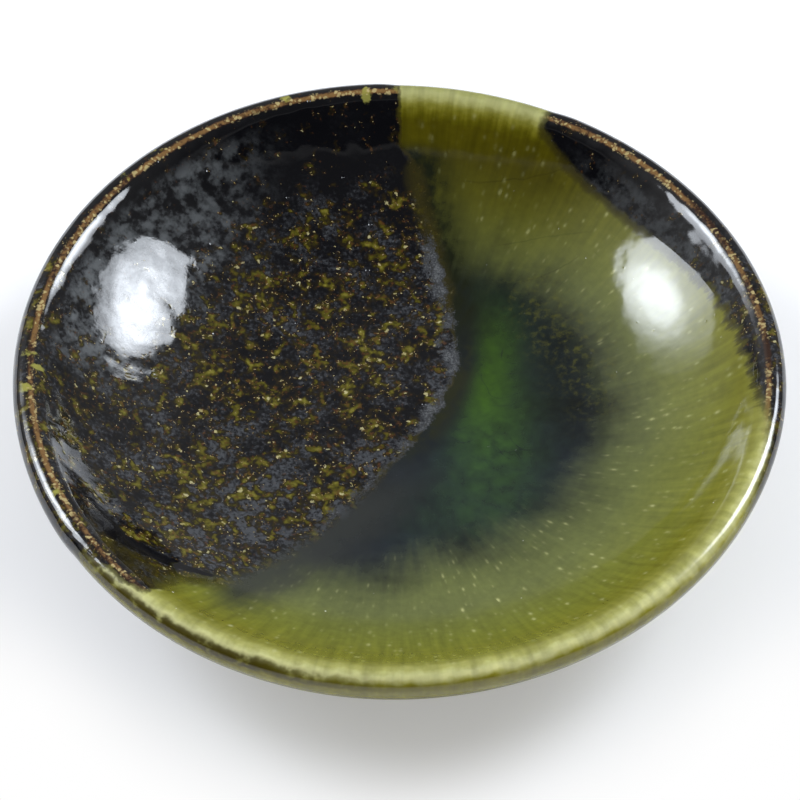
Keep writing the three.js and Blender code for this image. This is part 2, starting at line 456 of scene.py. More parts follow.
@dataclass(frozen=True)
class PourEdges:
    """Sizes of the edges of the two pours."""

    left_back: float = 89.8
    left_front: float = 229.5
    left_front_outside: float = 216.0
    left_front_sweep: float = 5.0 * MM
    left_front_course: float = 68.0
    tip_course: float = 232.3
    tip_reach: float = 35.4 * MM
    tip_sweep_front: float = 5.0 * MM
    tip_course_front: float = 192.0
    tip_sweep_back: float = 9.0 * MM
    tip_course_back: float = 40.0
    nose_right: float = 7.4 * MM
    nose_back: float = 11.0 * MM
    nose_sweep_front: float = 12.0 * MM
    nose_sweep_back: float = 9.0 * MM
    step_right: float = 1.6 * MM
    step_back: float = 39.2 * MM
    step_sweep_front: float = 10.0 * MM
    step_course_front: float = -76.0
    step_sweep_back: float = 1.2 * MM
    step_course_back: float = 150.0
    left_back_sweep: float = 3.4 * MM
    left_back_course: float = -88.0
    right_back: float = 64.4
    right_front: float = -6.0
    right_front_crest: float = -13.4
    right_front_outside: float = -31.0
    right_nose_course: float = 43.0
    right_nose_reach: float = 40.85 * MM
    right_nose_sweep_front: float = 14.0 * MM
    right_nose_sweep_back: float = 6.0 * MM
    right_back_sweep: float = 5.5 * MM
    right_back_course: float = -52.0
    right_front_sweep: float = 15.0 * MM
    right_front_course: float = 96.0
    left_points: tuple[int, int, int, int] = (30, 60, 50, 20)
    right_points: tuple[int, int] = (50, 40)

    def left(self, clay: ThrownClay) -> PourEdge:
        """The left pour's edge.

        It is four cubic curves: from the lip to the tip of the front run, to the nose, to the step on the
        back wall, and to the back.

        Args:
            clay: The clay that the edge crosses.

        Returns:
            The edge.
        """
        front = clay.inside_lip * heading(self.left_front)
        back = clay.inside_lip * heading(self.left_back)
        tip = self.tip_reach * heading(self.tip_course)
        nose = np.array([self.nose_right, self.nose_back])
        step = np.array([self.step_right, self.step_back])
        curves = [
            cubic(
                front,
                front + self.left_front_sweep * heading(self.left_front_course),
                tip + self.tip_sweep_front * heading(self.tip_course_front),
                tip,
                self.left_points[0],
            ),
            cubic(
                tip,
                tip + self.tip_sweep_back * heading(self.tip_course_back),
                nose + self.nose_sweep_front * heading(-90.0),
                nose,
                self.left_points[1],
            )[1:],
            cubic(
                nose,
                nose + self.nose_sweep_back * heading(90.0),
                step + self.step_sweep_front * heading(self.step_course_front),
                step,
                self.left_points[2],
            )[1:],
            cubic(
                step,
                step + self.step_sweep_back * heading(self.step_course_back),
                back + self.left_back_sweep * heading(self.left_back_course),
                back,
                self.left_points[3],
            )[1:],
        ]
        return PourEdge.between(curves, self.left_front, self.left_front_outside, self.left_back, clay)

    def right(self, clay: ThrownClay) -> PourEdge:
        """The right pour's edge: two cubic curves that meet where it reaches furthest into the well.

        Args:
            clay: The clay that the edge crosses.

        Returns:
            The edge.
        """
        front = clay.inside_lip * heading(self.right_front)
        back = clay.inside_lip * heading(self.right_back)
        nose = self.right_nose_reach * heading(self.right_nose_course)
        curves = [
            cubic(
                front,
                front + self.right_front_sweep * heading(self.right_front_course),
                nose + self.right_nose_sweep_front * heading(self.right_nose_course - 90.0),
                nose,
                self.right_points[0],
            ),
            cubic(
                nose,
                nose + self.right_nose_sweep_back * heading(self.right_nose_course + 90.0),
                back + self.right_back_sweep * heading(self.right_back_course),
                back,
                self.right_points[1],
            )[1:],
        ]
        crest, outside = self.right_front_crest, self.right_front_outside
        return PourEdge.between(curves, crest, outside, self.right_back, clay)


@dataclass(frozen=True)
class GlazeDepths:
    """How thick each glaze lies."""

    coat: float = 0.5 * MM
    coat_on_lip: float = 0.3 * MM
    break_width: float = 4.0 * MM
    roll_width: float = 1.2 * MM
    pour: float = 0.2 * MM
    pour_on_lip: float = 0.12 * MM
    pour_swell: float = 11.0 * MM
    pour_shoulder: float = 3.5 * MM
    glass: float = 1.1 * MM
    glass_radius: float = 27.5 * MM
    bond: float = 0.03 * MM
    feather: float = 0.03 * MM
    sunk: float = 0.07 * MM
    sunk_width: float = 1.8 * MM
    shore_fade: float = 2.5 * MM

    def coat_at(self, arc: Array, crest: float, end: Array) -> Array:
        """Thickness of the olive coat, drawn thin over the lip and rolled round at its lower edge.

        Args:
            arc: Distance along the section.
            crest: Arc of the top of the lip.
            end: Arc of the lower edge.

        Returns:
            Thickness.
        """
        full = smoothstep(0.0, self.break_width, np.abs(arc - crest))
        layer = self.coat_on_lip + (self.coat - self.coat_on_lip) * full
        left = np.clip((end - arc) / self.roll_width, 0.0, 1.0)
        return layer * np.sqrt(np.clip(1.0 - (1.0 - left) ** 2, 0.0, 1.0)) + self.feather

    def glass_at(self, radius: Array) -> Array:
        """Depth of the glass in the well, a lens of (1 - (r/R)^2)^2 that ends without a step."""
        return self.glass * np.clip(1.0 - (radius / self.glass_radius) ** 2, 0.0, 1.0) ** 2

    def pour_at(self, arc: Array, crest: float, into: Array) -> Array:
        """Thickness of a poured glaze, thin on the lip and rising from its edge over a soft shoulder.

        Args:
            arc: Distance along the section.
            crest: Arc of the top of the lip.
            into: Distance inside the pour's edge.

        Returns:
            Thickness.
        """
        full = smoothstep(0.0, self.pour_swell, np.abs(arc - crest))
        layer = self.pour_on_lip + (self.pour - self.pour_on_lip) * full
        return layer * smoothstep(0.0, self.pour_shoulder, into) + self.feather


@dataclass(frozen=True)
class FaceSet:
    """Faces that share one flat chart for baking."""

    faces: Array
    chart: Array


def quads(index: Array, wrap: bool) -> Array:
    """Quads of an index grid whose rows run outwards and whose columns run counter-clockwise.

    Args:
        index: Vertex numbers by row and column.
        wrap: Whether the last column meets the first.

    Returns:
        Four vertex numbers in each row.
    """
    here = index if wrap else index[:, :-1]
    beside = np.roll(index, -1, axis=1) if wrap else index[:, 1:]
    return np.stack([here[:-1], here[1:], beside[1:], beside[:-1]], axis=-1).reshape(-1, 4)


def rim_of(index: Array) -> Array:
    """Vertex numbers round an index grid, in the sense opposite to its faces."""
    return np.concatenate([index[0, :-1], index[:-1, -1], index[-1, :0:-1], index[:0:-1, 0]])


def mesh_piece(name: str, points: Array, sets: list[FaceSet], marks: dict[Mark, Array]) -> bpy.types.Object:
    """A smooth shaded piece with its chart and its glaze marks.

    Args:
        name: Name of the piece.
        points: Vertices in rows.
        sets: Faces and the chart that each set uses.
        marks: Numbers for each vertex by attribute.

    Returns:
        The new object, at the origin.
    """
    mesh = bpy.data.meshes.new(name)
    faces = [face for group in sets for face in group.faces.tolist()]
    mesh.from_pydata(points.reshape(-1, 3).tolist(), [], faces)
    corners = np.concatenate([group.chart[group.faces.ravel()] for group in sets])
    chart = mesh.uv_layers.new(name=CHART_NAME)
    chart.data.foreach_set("uv", corners.astype(np.float32).ravel())
    for mark, values in marks.items():
        attribute = mesh.attributes.new(mark.value, "FLOAT", "POINT")
        attribute.data.foreach_set("value", values.astype(np.float32).ravel())
    mesh.polygons.foreach_set("use_smooth", np.ones(len(mesh.polygons), bool))
    mesh.set_sharp_from_angle(angle=math.radians(SHARP_ANGLE))
    mesh.update()
    piece = bpy.data.objects.new(name, mesh)
    bpy.context.scene.collection.objects.link(piece)
    return piece


@dataclass(frozen=True)
class Ware:
    """The whole dish: its clay, the edges of its pours and the depths of its glazes.

    The wavers of the glaze line are waves round the foot: height in millimetres, number of waves and start.
    """

    clay: ThrownClay
    section: Section
    left: PourEdge
    right: PourEdge
    depths: GlazeDepths
    wavers: tuple[tuple[float, float, float], ...] = ((0.28, 3.0, 0.6), (0.17, 7.0, 2.0), (0.09, 16.0, 0.0))

    @classmethod
    def thrown(cls) -> "Ware":
        """The dish at its own sizes."""
        clay, edges = ThrownClay(), PourEdges()
        return cls(clay, clay.section(), edges.left(clay), edges.right(clay), GlazeDepths())

    @property
    def crest(self) -> float:
        """Arc of the top of the lip."""
        return self.section.crest

    def coat_end(self, angle: Array) -> Array:
        """Arc of the coat's lower edge, which wavers a little round the foot as a wiped edge does.

        Args:
            angle: Turn about the axis, in radians.

        Returns:
            The glaze line's arc with the sum of the wavers added.
        """
        end = self.section.arc_at_height(self.clay.glaze_line())
        waver = sum(size * np.sin(waves * angle + start) for size, waves, start in self.wavers)
        return end + waver * MM

    def skin(self, arc: Array, angle: Array, depth: Array) -> Array:
        """Points a depth outside the clay at an arc and an angle."""
        radius, height = self.section.place(arc, depth)
        return self.clay.spin(radius, height, angle)

    def marks(self, arc: Array, angle: Array) -> dict[Mark, Array]:
        """The glaze marks of points on the clay, in millimetres.

        Args:
            arc: Distance along the section.
            angle: Turn about the axis, in radians.

        Returns:
            Numbers for each mark.
        """
        plan = self.section.radius_at(arc)[..., None] * facing(angle)
        return {
            Mark.CREST: (arc - self.crest + self.clay.lip_radius - self.clay.lip_round) / MM,
            Mark.LEFT: self.left.into(plan) / MM,
            Mark.RIGHT: self.right.into(plan) / MM,
        }


class Field:
    """A number that varies over a surface: a node's output, with arithmetic that adds Math nodes."""

    def __init__(self, sheet: "Sheet", socket: bpy.types.NodeSocket) -> None:
        """Wraps an output socket."""
        self.sheet = sheet
        self.socket = socket

    def __add__(self, other: "Field | float") -> "Field":
        """Sum."""
        return self.sheet.maths("ADD", self, other)

    def __sub__(self, other: "Field | float") -> "Field":
        """Difference."""
        return self.sheet.maths("SUBTRACT", self, other)

    def __rsub__(self, other: float) -> "Field":
        """Difference from a number."""
        return self.sheet.maths("SUBTRACT", other, self)

    def __mul__(self, other: "Field | float") -> "Field":
        """Product."""
        return self.sheet.maths("MULTIPLY", self, other)

    def __truediv__(self, other: "Field | float") -> "Field":
        """Quotient."""
        return self.sheet.maths("DIVIDE", self, other)

    def __rtruediv__(self, other: float) -> "Field":
        """Quotient of a number."""
        return self.sheet.maths("DIVIDE", other, self)

    def __pow__(self, other: float) -> "Field":
        """Power."""
        return self.sheet.maths("POWER", self, other)

    __radd__ = __add__
    __rmul__ = __mul__

    def size(self) -> "Field":
        """Absolute value."""
        return self.sheet.maths("ABSOLUTE", self)

    def above(self, other: "Field | float") -> "Field":
        """The larger of the two."""
        return self.sheet.maths("MAXIMUM", self, other)

    def rise(self, low: float, high: float) -> "Field":
        """Smooth rise from 0 at low to 1 at high, or a fall where low is the larger.

        Args:
            low: Value at which it is 0.
            high: Value at which it is 1.

        Returns:
            The rise.
        """
        settings = {"interpolation_type": "SMOOTHSTEP", "clamp": True}
        node = self.sheet.node("ShaderNodeMapRange", settings, {0: self, 1: low, 2: high, 3: 0.0, 4: 1.0})
        return Field(self.sheet, node.outputs[0])


Value = Field | float
Tint = bpy.types.NodeSocket | Colour


class Sheet:
    """The node tree of one material, with the few ways in which nodes are added to it."""

    def __init__(self, tree: bpy.types.NodeTree) -> None:
        """Starts with an empty tree."""
        self.tree = tree
        tree.nodes.clear()

    def node(self, kind: str, settings: dict | None = None, inputs: dict | None = None) -> bpy.types.Node:
        """Adds a node, sets it and feeds its sockets.

        Args:
            kind: Blender's name of the node type.
            settings: Properties, set first. The key stops holds a ramp's positions and colours.
            inputs: Values, fields or sockets by input name or number.

        Returns:
            The node.
        """
        node = self.tree.nodes.new(kind)
        for name, value in (settings or {}).items():
            if name == "stops":
                self.set_stops(node.color_ramp, value)
            else:
                setattr(node, name, value)
        for key, value in (inputs or {}).items():
            socket = value.socket if isinstance(value, Field) else value
            if isinstance(socket, bpy.types.NodeSocket):
                self.tree.links.new(socket, node.inputs[key])
            elif isinstance(socket, tuple) and node.inputs[key].type == "RGBA":
                node.inputs[key].default_value = (*socket, 1.0)
            else:
                node.inputs[key].default_value = socket
        return node

    @staticmethod
    def set_stops(ramp: bpy.types.ColorRamp, stops: list[tuple[float, Colour]]) -> None:
        """Gives a colour ramp its stops.

        Args:
            ramp: The ramp of a node.
            stops: Positions from 0 to 1 and their colours.
        """
        while len(ramp.elements) < len(stops):
            ramp.elements.new(0.5)
        for element, (position, colour) in zip(ramp.elements, stops):
            element.position = position
            element.color = (*colour, 1.0)

    def maths(self, operation: str, *values: Value) -> Field:
        """A Math node on numbers and fields."""
        node = self.node("ShaderNodeMath", {"operation": operation}, dict(enumerate(values)))
        return Field(self, node.outputs[0])

    def mark(self, mark: Mark) -> Field:
        """The attribute that says where a point of glaze lies."""
        return Field(self, self.node("ShaderNodeAttribute", {"attribute_name": mark.value}).outputs["Fac"])

    def bent(self, vector: bpy.types.NodeSocket, scale: float, amount: float) -> bpy.types.NodeSocket:
        """A vector pushed about by noise, so that a pattern on it loses its round or straight forms.

        Args:
            vector: The vector to push.
            scale: How close the noise's clouds lie.
            amount: How far the noise pushes.

        Returns:
            The pushed vector.
        """
        push = self.node("ShaderNodeTexNoise", {}, {"Vector": vector, "Scale": scale}).outputs["Color"]
        settings = {"operation": "MULTIPLY_ADD"}
        return self.node("ShaderNodeVectorMath", settings, {0: push, 1: (amount,) * 3, 2: vector}).outputs[0]

    def moved(self, vector: bpy.types.NodeSocket, by: tuple[float, float, float]) -> bpy.types.NodeSocket:
        """A vector with a constant added, which gives a pattern a place of its own."""
        return self.node("ShaderNodeVectorMath", {"operation": "ADD"}, {0: vector, 1: by}).outputs[0]

    def noise(
        self,
        vector: bpy.types.NodeSocket,
        size: float,
        seed: float = 0.0,
        detail: float = 2.0,
        grain: float = 0.5,
        swirl: float = 0.0,
    ) -> Field:
        """Cloudy noise about zero, mostly within a quarter either way.

        Args:
            vector: Where it is read, in millimetres.
            size: Size of its largest clouds.
            seed: Shifts the pattern, so that two noises differ.
            detail: How many finer layers it has.
            grain: How strong the finer layers are.
            swirl: How far it is twisted.

        Returns:
            The noise.
        """
        place = self.moved(vector, tuple(seed * part for part in NOISE_STRIDE))
        inputs = {"Vector": place, "Scale": 1.0 / size}
        inputs |= {"Detail": detail, "Roughness": grain, "Distortion": swirl}
        return Field(self, self.node("ShaderNodeTexNoise", {}, inputs).outputs[0]) - 0.5

    def cells(
        self, vector: bpy.types.NodeSocket, size: float, seed: float, feature: str = "F1"
    ) -> bpy.types.Node:
        """A cell pattern.

        Args:
            vector: Where it is read, in millimetres.
            size: Distance between cells.
            seed: Shifts the pattern.
            feature: What its Distance measures, in cells.

        Returns:
            The node, whose Color is chance for each cell.
        """
        place = self.moved(vector, tuple(seed * part for part in CELL_STRIDE))
        inputs = {"Vector": place, "Scale": 1.0 / size}
        return self.node("ShaderNodeTexVoronoi", {"feature": feature}, inputs)

    def specks(
        self, vector: bpy.types.NodeSocket, size: float, seed: float, share: float, radius: float
    ) -> tuple[Field, Field]:
        """Round specks, one in some of the cells of a pattern.

        Args:
            vector: Where they are read.
            size: Distance between cells.
            seed: Shifts the pattern.
            share: Share of the cells that hold a speck.
            radius: Radius of the largest speck, in cells.

        Returns:
            Nearness to a speck, 1 at its edge and more inside, 0 far away; and chance for each speck.
        """
        cells = self.cells(vector, size, seed)
        parts = self.node("ShaderNodeSeparateColor", {}, {0: cells.outputs["Color"]})
        present = Field(self, parts.outputs[0]).rise(1.0 - share - 0.001, 1.0 - share)
        chance = Field(self, parts.outputs[1])
        reach = radius * (0.45 + 0.55 * chance)
        near = present * reach / Field(self, cells.outputs["Distance"]).above(0.01)
        return near, chance

    def mix(self, under: Tint, over: Tint, share: Value) -> bpy.types.NodeSocket:
        """One colour laid over another."""
        settings = {"data_type": "RGBA", "clamp_factor": True}
        return self.node("ShaderNodeMix", settings, {0: share, 6: under, 7: over}).outputs[2]

    def shade(self, colour: Tint, by: Value) -> bpy.types.NodeSocket:
        """A colour made darker or lighter by a factor.

        Args:
            colour: The colour.
            by: The factor.

        Returns:
            The product.
        """
        grey = self.node("ShaderNodeCombineColor", {}, {0: by, 1: by, 2: by}).outputs[0]
        settings = {"data_type": "RGBA", "blend_type": "MULTIPLY"}
        return self.node("ShaderNodeMix", settings, {0: 1.0, 6: colour, 7: grey}).outputs[2]

    def ramp(self, value: Field, stops: list[tuple[float, Colour]]) -> bpy.types.NodeSocket:
        """A colour that follows a field.

        Args:
            value: The field.
            stops: Places in the field's own units and their colours.

        Returns:
            The colour.
        """
        low, high = stops[0][0], stops[-1][0]
        scaled = [((at - low) / (high - low), colour) for at, colour in stops]
        share = (value - low) / (high - low)
        return self.node("ShaderNodeValToRGB", {"stops": scaled}, {0: share}).outputs[0]


@dataclass(frozen=True)
class Place:
    """Where a point of glaze lies, as shader fields in millimetres."""

    position: bpy.types.NodeSocket
    run: bpy.types.NodeSocket
    x: Field
    y: Field
    radius: Field
    crest: Field
    left: Field
    right: Field

    @classmethod
    def of(cls, sheet: Sheet, run_radius: float = 42.0) -> "Place":
        """Reads Object coordinates and the piece's marks.

        The run vector counts millimetres round the dish at run_radius, and down its section from the lip,
        so that a pattern on it can be drawn out the way the glaze ran.

        Args:
            sheet: The material's nodes.
            run_radius: Radius at which the run vector is true to size round the dish.

        Returns:
            The fields.
        """
        where = sheet.node("ShaderNodeTexCoord").outputs["Object"]
        settings = {"operation": "SCALE"}
        position = sheet.node("ShaderNodeVectorMath", settings, {0: where, "Scale": 1.0 / MM}).outputs[0]
        parts = sheet.node("ShaderNodeSeparateXYZ", {}, {0: position}).outputs
        x, y = Field(sheet, parts[0]), Field(sheet, parts[1])
        radius = (x * x + y * y) ** 0.5
        crest = sheet.mark(Mark.CREST)
        turn = sheet.maths("ARCTAN2", y, x) * run_radius
        run = sheet.node("ShaderNodeCombineXYZ", {}, {0: turn, 1: crest}).outputs[0]
        return cls(position, run, x, y, radius, crest, sheet.mark(Mark.LEFT), sheet.mark(Mark.RIGHT))

    def drawn(self, sheet: Sheet, along: float) -> bpy.types.NodeSocket:
        """The run vector with patterns drawn out along the run by a factor."""
        inputs = {0: self.run, 1: (1.0, 1.0 / along, 1.0)}
        return sheet.node("ShaderNodeVectorMath", {"operation": "MULTIPLY"}, inputs).outputs[0]


@dataclass(frozen=True)
class Layer:
    """What a glaze shows at a point: its colour, how dull it is and how high it stands, in millimetres."""

    colour: bpy.types.NodeSocket
    dull: Value
    relief: Value


def fired(slot: Slot, ior: float, paint: Callable[[Sheet, Place], Layer]) -> bpy.types.Material:
    """A material that shows a layer, with its relief as a bump.

    Args:
        slot: The record's slot, which names the material.
        ior: Refractive index of the surface.
        paint: Works out the layer at a place.

    Returns:
        The material.
    """
    material = bpy.data.materials.new(slot.value)
    material.use_nodes = True
    sheet = Sheet(material.node_tree)
    layer = paint(sheet, Place.of(sheet))
    bump = sheet.node("ShaderNodeBump", {}, {"Strength": 1.0, "Distance": MM, "Height": layer.relief})
    inputs = {"Base Color": layer.colour, "Roughness": layer.dull, "IOR": ior, "Normal": bump.outputs[0]}
    shader = sheet.node("ShaderNodeBsdfPrincipled", {}, inputs)
    sheet.node("ShaderNodeOutputMaterial", {}, {"Surface": shader.outputs[0]})
    return material


@dataclass(frozen=True)
class HairCrack:
    """A hair crack in the glaze: part of a circle seen from above, in millimetres."""

    middle_x: float
    middle_y: float
    radius: float
    start_x: float
    end_x: float
    sway: float = 1.5
    taper: float = 3.0
    half_width: tuple[float, float] = (0.16, 0.03)
    front_end: tuple[float, float] = (10.0, 14.0)

    def field(self, place: Place, wander: Field) -> Field:
        """How much of the crack shows at a point, by distance from the circle.

        Args:
            place: Where the point lies.
            wander: Noise that bends the crack.

        Returns:
            One on the crack, nothing beside it.
        """
        x, y = place.x - self.middle_x, place.y - self.middle_y
        off = ((x * x + y * y) ** 0.5 - self.radius + self.sway * wander).size()
        ends = place.x.rise(self.start_x, self.start_x + self.taper)
        ends = ends * place.x.rise(self.end_x, self.end_x - self.taper)
        return off.rise(*self.half_width) * ends * place.y.rise(*self.front_end)


@dataclass(frozen=True)
class OliveGlaze:
    """Olive ash glaze: pale where it draws thin over the lip, streaked and flecked the way it ran.

    Its colours are stops by distance from the crest of the lip, negative in the well. It ran thicker and
    browner on the back wall.
    """

    front: tuple[tuple[float, Colour], ...] = (
        (-46.0, (0.092, 0.110, 0.034)),
        (-18.0, (0.106, 0.119, 0.034)),
        (-11.0, (0.138, 0.147, 0.024)),
        (-6.0, (0.160, 0.161, 0.018)),
        (-4.0, (0.167, 0.162, 0.015)),
        (-2.0, (0.205, 0.201, 0.030)),
        (-1.0, (0.212, 0.208, 0.040)),
        (-0.5, (0.240, 0.236, 0.056)),
        (0.0, (0.300, 0.297, 0.088)),
        (0.45, (0.425, 0.420, 0.175)),
        (0.8, (0.500, 0.490, 0.225)),
        (1.15, (0.380, 0.366, 0.120)),
        (1.5, (0.205, 0.188, 0.016)),
        (1.9, (0.135, 0.118, 0.001)),
        (2.3, (0.155, 0.138, 0.004)),
        (3.2, (0.185, 0.170, 0.020)),
        (34.0, (0.150, 0.146, 0.018)),
    )
    back: tuple[tuple[float, Colour], ...] = (
        (-46.0, (0.090, 0.104, 0.024)),
        (-20.0, (0.104, 0.110, 0.018)),
        (-13.0, (0.067, 0.064, 0.006)),
        (-8.0, (0.052, 0.045, 0.002)),
        (-4.0, (0.066, 0.056, 0.002)),
        (-3.0, (0.090, 0.080, 0.003)),
        (-2.25, (0.145, 0.132, 0.010)),
        (-1.5, (0.215, 0.202, 0.030)),
        (-0.75, (0.315, 0.310, 0.110)),
        (-0.2, (0.335, 0.335, 0.140)),
        (0.4, (0.235, 0.238, 0.078)),
        (0.8, (0.220, 0.222, 0.070)),
        (1.4, (0.150, 0.136, 0.028)),
        (2.0, (0.080, 0.068, 0.008)),
        (34.0, (0.130, 0.128, 0.024)),
    )
    burnt: Colour = (0.034, 0.024, 0.001)
    fleck: Colour = (0.400, 0.400, 0.165)
    white: Colour = (0.720, 0.720, 0.620)
    roughness: float = 0.08
    front_roughness: float = 0.1
    dent_height: float = 0.04
    peel_height: float = 0.008
    pit_depth: float = 0.02
    cracks: tuple[HairCrack, ...] = (
        HairCrack(middle_x=18.0, middle_y=84.0, radius=49.0, start_x=7.0, end_x=24.0),
        HairCrack(middle_x=17.0, middle_y=-30.0, radius=57.6, start_x=12.0, end_x=26.5),
        HairCrack(middle_x=10.0, middle_y=60.0, radius=38.6, start_x=13.0, end_x=24.5),
    )

    def paint(self, sheet: Sheet, place: Place) -> Layer:
        """The glaze's own look over the whole dish.

        Args:
            sheet: The material's nodes.
            place: Where the point lies.

        Returns:
            The layer.
        """
        drip = sheet.noise(place.drawn(sheet, 9.0), size=0.9, seed=1.0)
        broad = sheet.noise(place.drawn(sheet, 4.0), size=3.4, seed=2.0)
        patch = sheet.noise(place.drawn(sheet, 0.8), size=1.3, seed=3.0)
        wall = place.crest.rise(-16.0, -8.0)
        crest = place.crest + 0.9 * broad + 0.9 * patch + 2.0 * drip * wall * place.crest.rise(-0.5, -3.0)
        shade = (place.y - 0.55 * place.x).rise(2.0, 26.0)
        colour = sheet.mix(sheet.ramp(crest, list(self.front)), sheet.ramp(crest, list(self.back)), shade)
        colour = sheet.shade(colour, 1.0 + (0.25 + 0.45 * wall) * drip + 0.3 * broad + 0.35 * patch)
        line = crest.rise(0.55, 1.2) * crest.rise(2.45, 1.95) * (patch + broad).rise(-0.3, 0.05)
        line = line * place.x.rise(6.0, -20.0) * place.y.rise(10.0, -10.0)
        colour = sheet.mix(colour, self.burnt, line * 0.9)
        long, kind = sheet.specks(place.drawn(sheet, 1.7), size=1.1, seed=4.0, share=0.8, radius=0.23)
        dots, chance = sheet.specks(place.position, size=2.6, seed=5.0, share=0.4, radius=0.05)
        fleck = long.rise(0.35, 1.6) * kind * (0.25 + 0.9 * (broad + patch).rise(-0.2, 0.3))
        colour = sheet.mix(colour, self.fleck, fleck * place.crest.rise(0.5, -1.0) * (0.75 - 0.3 * shade))
        colour = sheet.mix(colour, self.white, dots.rise(0.7, 1.2) * chance * place.crest.rise(0.5, -1.0))
        colour = self.crackled(sheet, place, colour)
        dents = sheet.noise(place.position, size=3.4, seed=7.0, detail=1.0)
        peel = sheet.noise(place.position, size=1.3, seed=9.0, detail=1.0)
        pits, _ = sheet.specks(place.position, size=1.6, seed=10.0, share=0.5, radius=0.09)
        rough = place.y.rise(-30.0, -14.0)
        pitted = self.peel_height * peel - self.pit_depth * pits.rise(0.6, 1.4)
        relief = self.dent_height * dents + rough * pitted
        return Layer(colour, self.roughness + self.front_roughness * place.y.rise(-22.0, -32.0), relief)

    def crackled(self, sheet: Sheet, place: Place, under: Tint) -> bpy.types.NodeSocket:
        """A few hair cracks in the glaze on the back of the well.

        Args:
            sheet: The material's nodes.
            place: Where the point lies.
            under: Colour of the glaze beside them.

        Returns:
            The colour.
        """
        wander = sheet.noise(place.position, size=6.0, seed=8.0, detail=3.0)
        line = self.cracks[0].field(place, wander)
        for crack in self.cracks[1:]:
            line = line.above(crack.field(place, wander))
        return sheet.shade(under, 1.0 - 0.28 * line * (0.6 + 2.0 * wander))


@dataclass(frozen=True)
class Glow:
    """A soft light place in the glass, strongest in its middle, in millimetres seen from above."""

    x: float
    y: float
    width: float
    height: float
    strength: float

    def field(self, sheet: Sheet, place: Place, wander: Field) -> Field:
        """Its strength at a point, which falls as a bell over its width and height.

        Args:
            sheet: The material's nodes.
            place: Where the point lies.
            wander: Noise that pushes it about.

        Returns:
            The strength.
        """
        across = (place.x - self.x + 6.0 * wander) / self.width
        along = (place.y - self.y) / self.height
        return self.strength * sheet.maths("EXPONENT", -0.5 * (across * across + along * along))


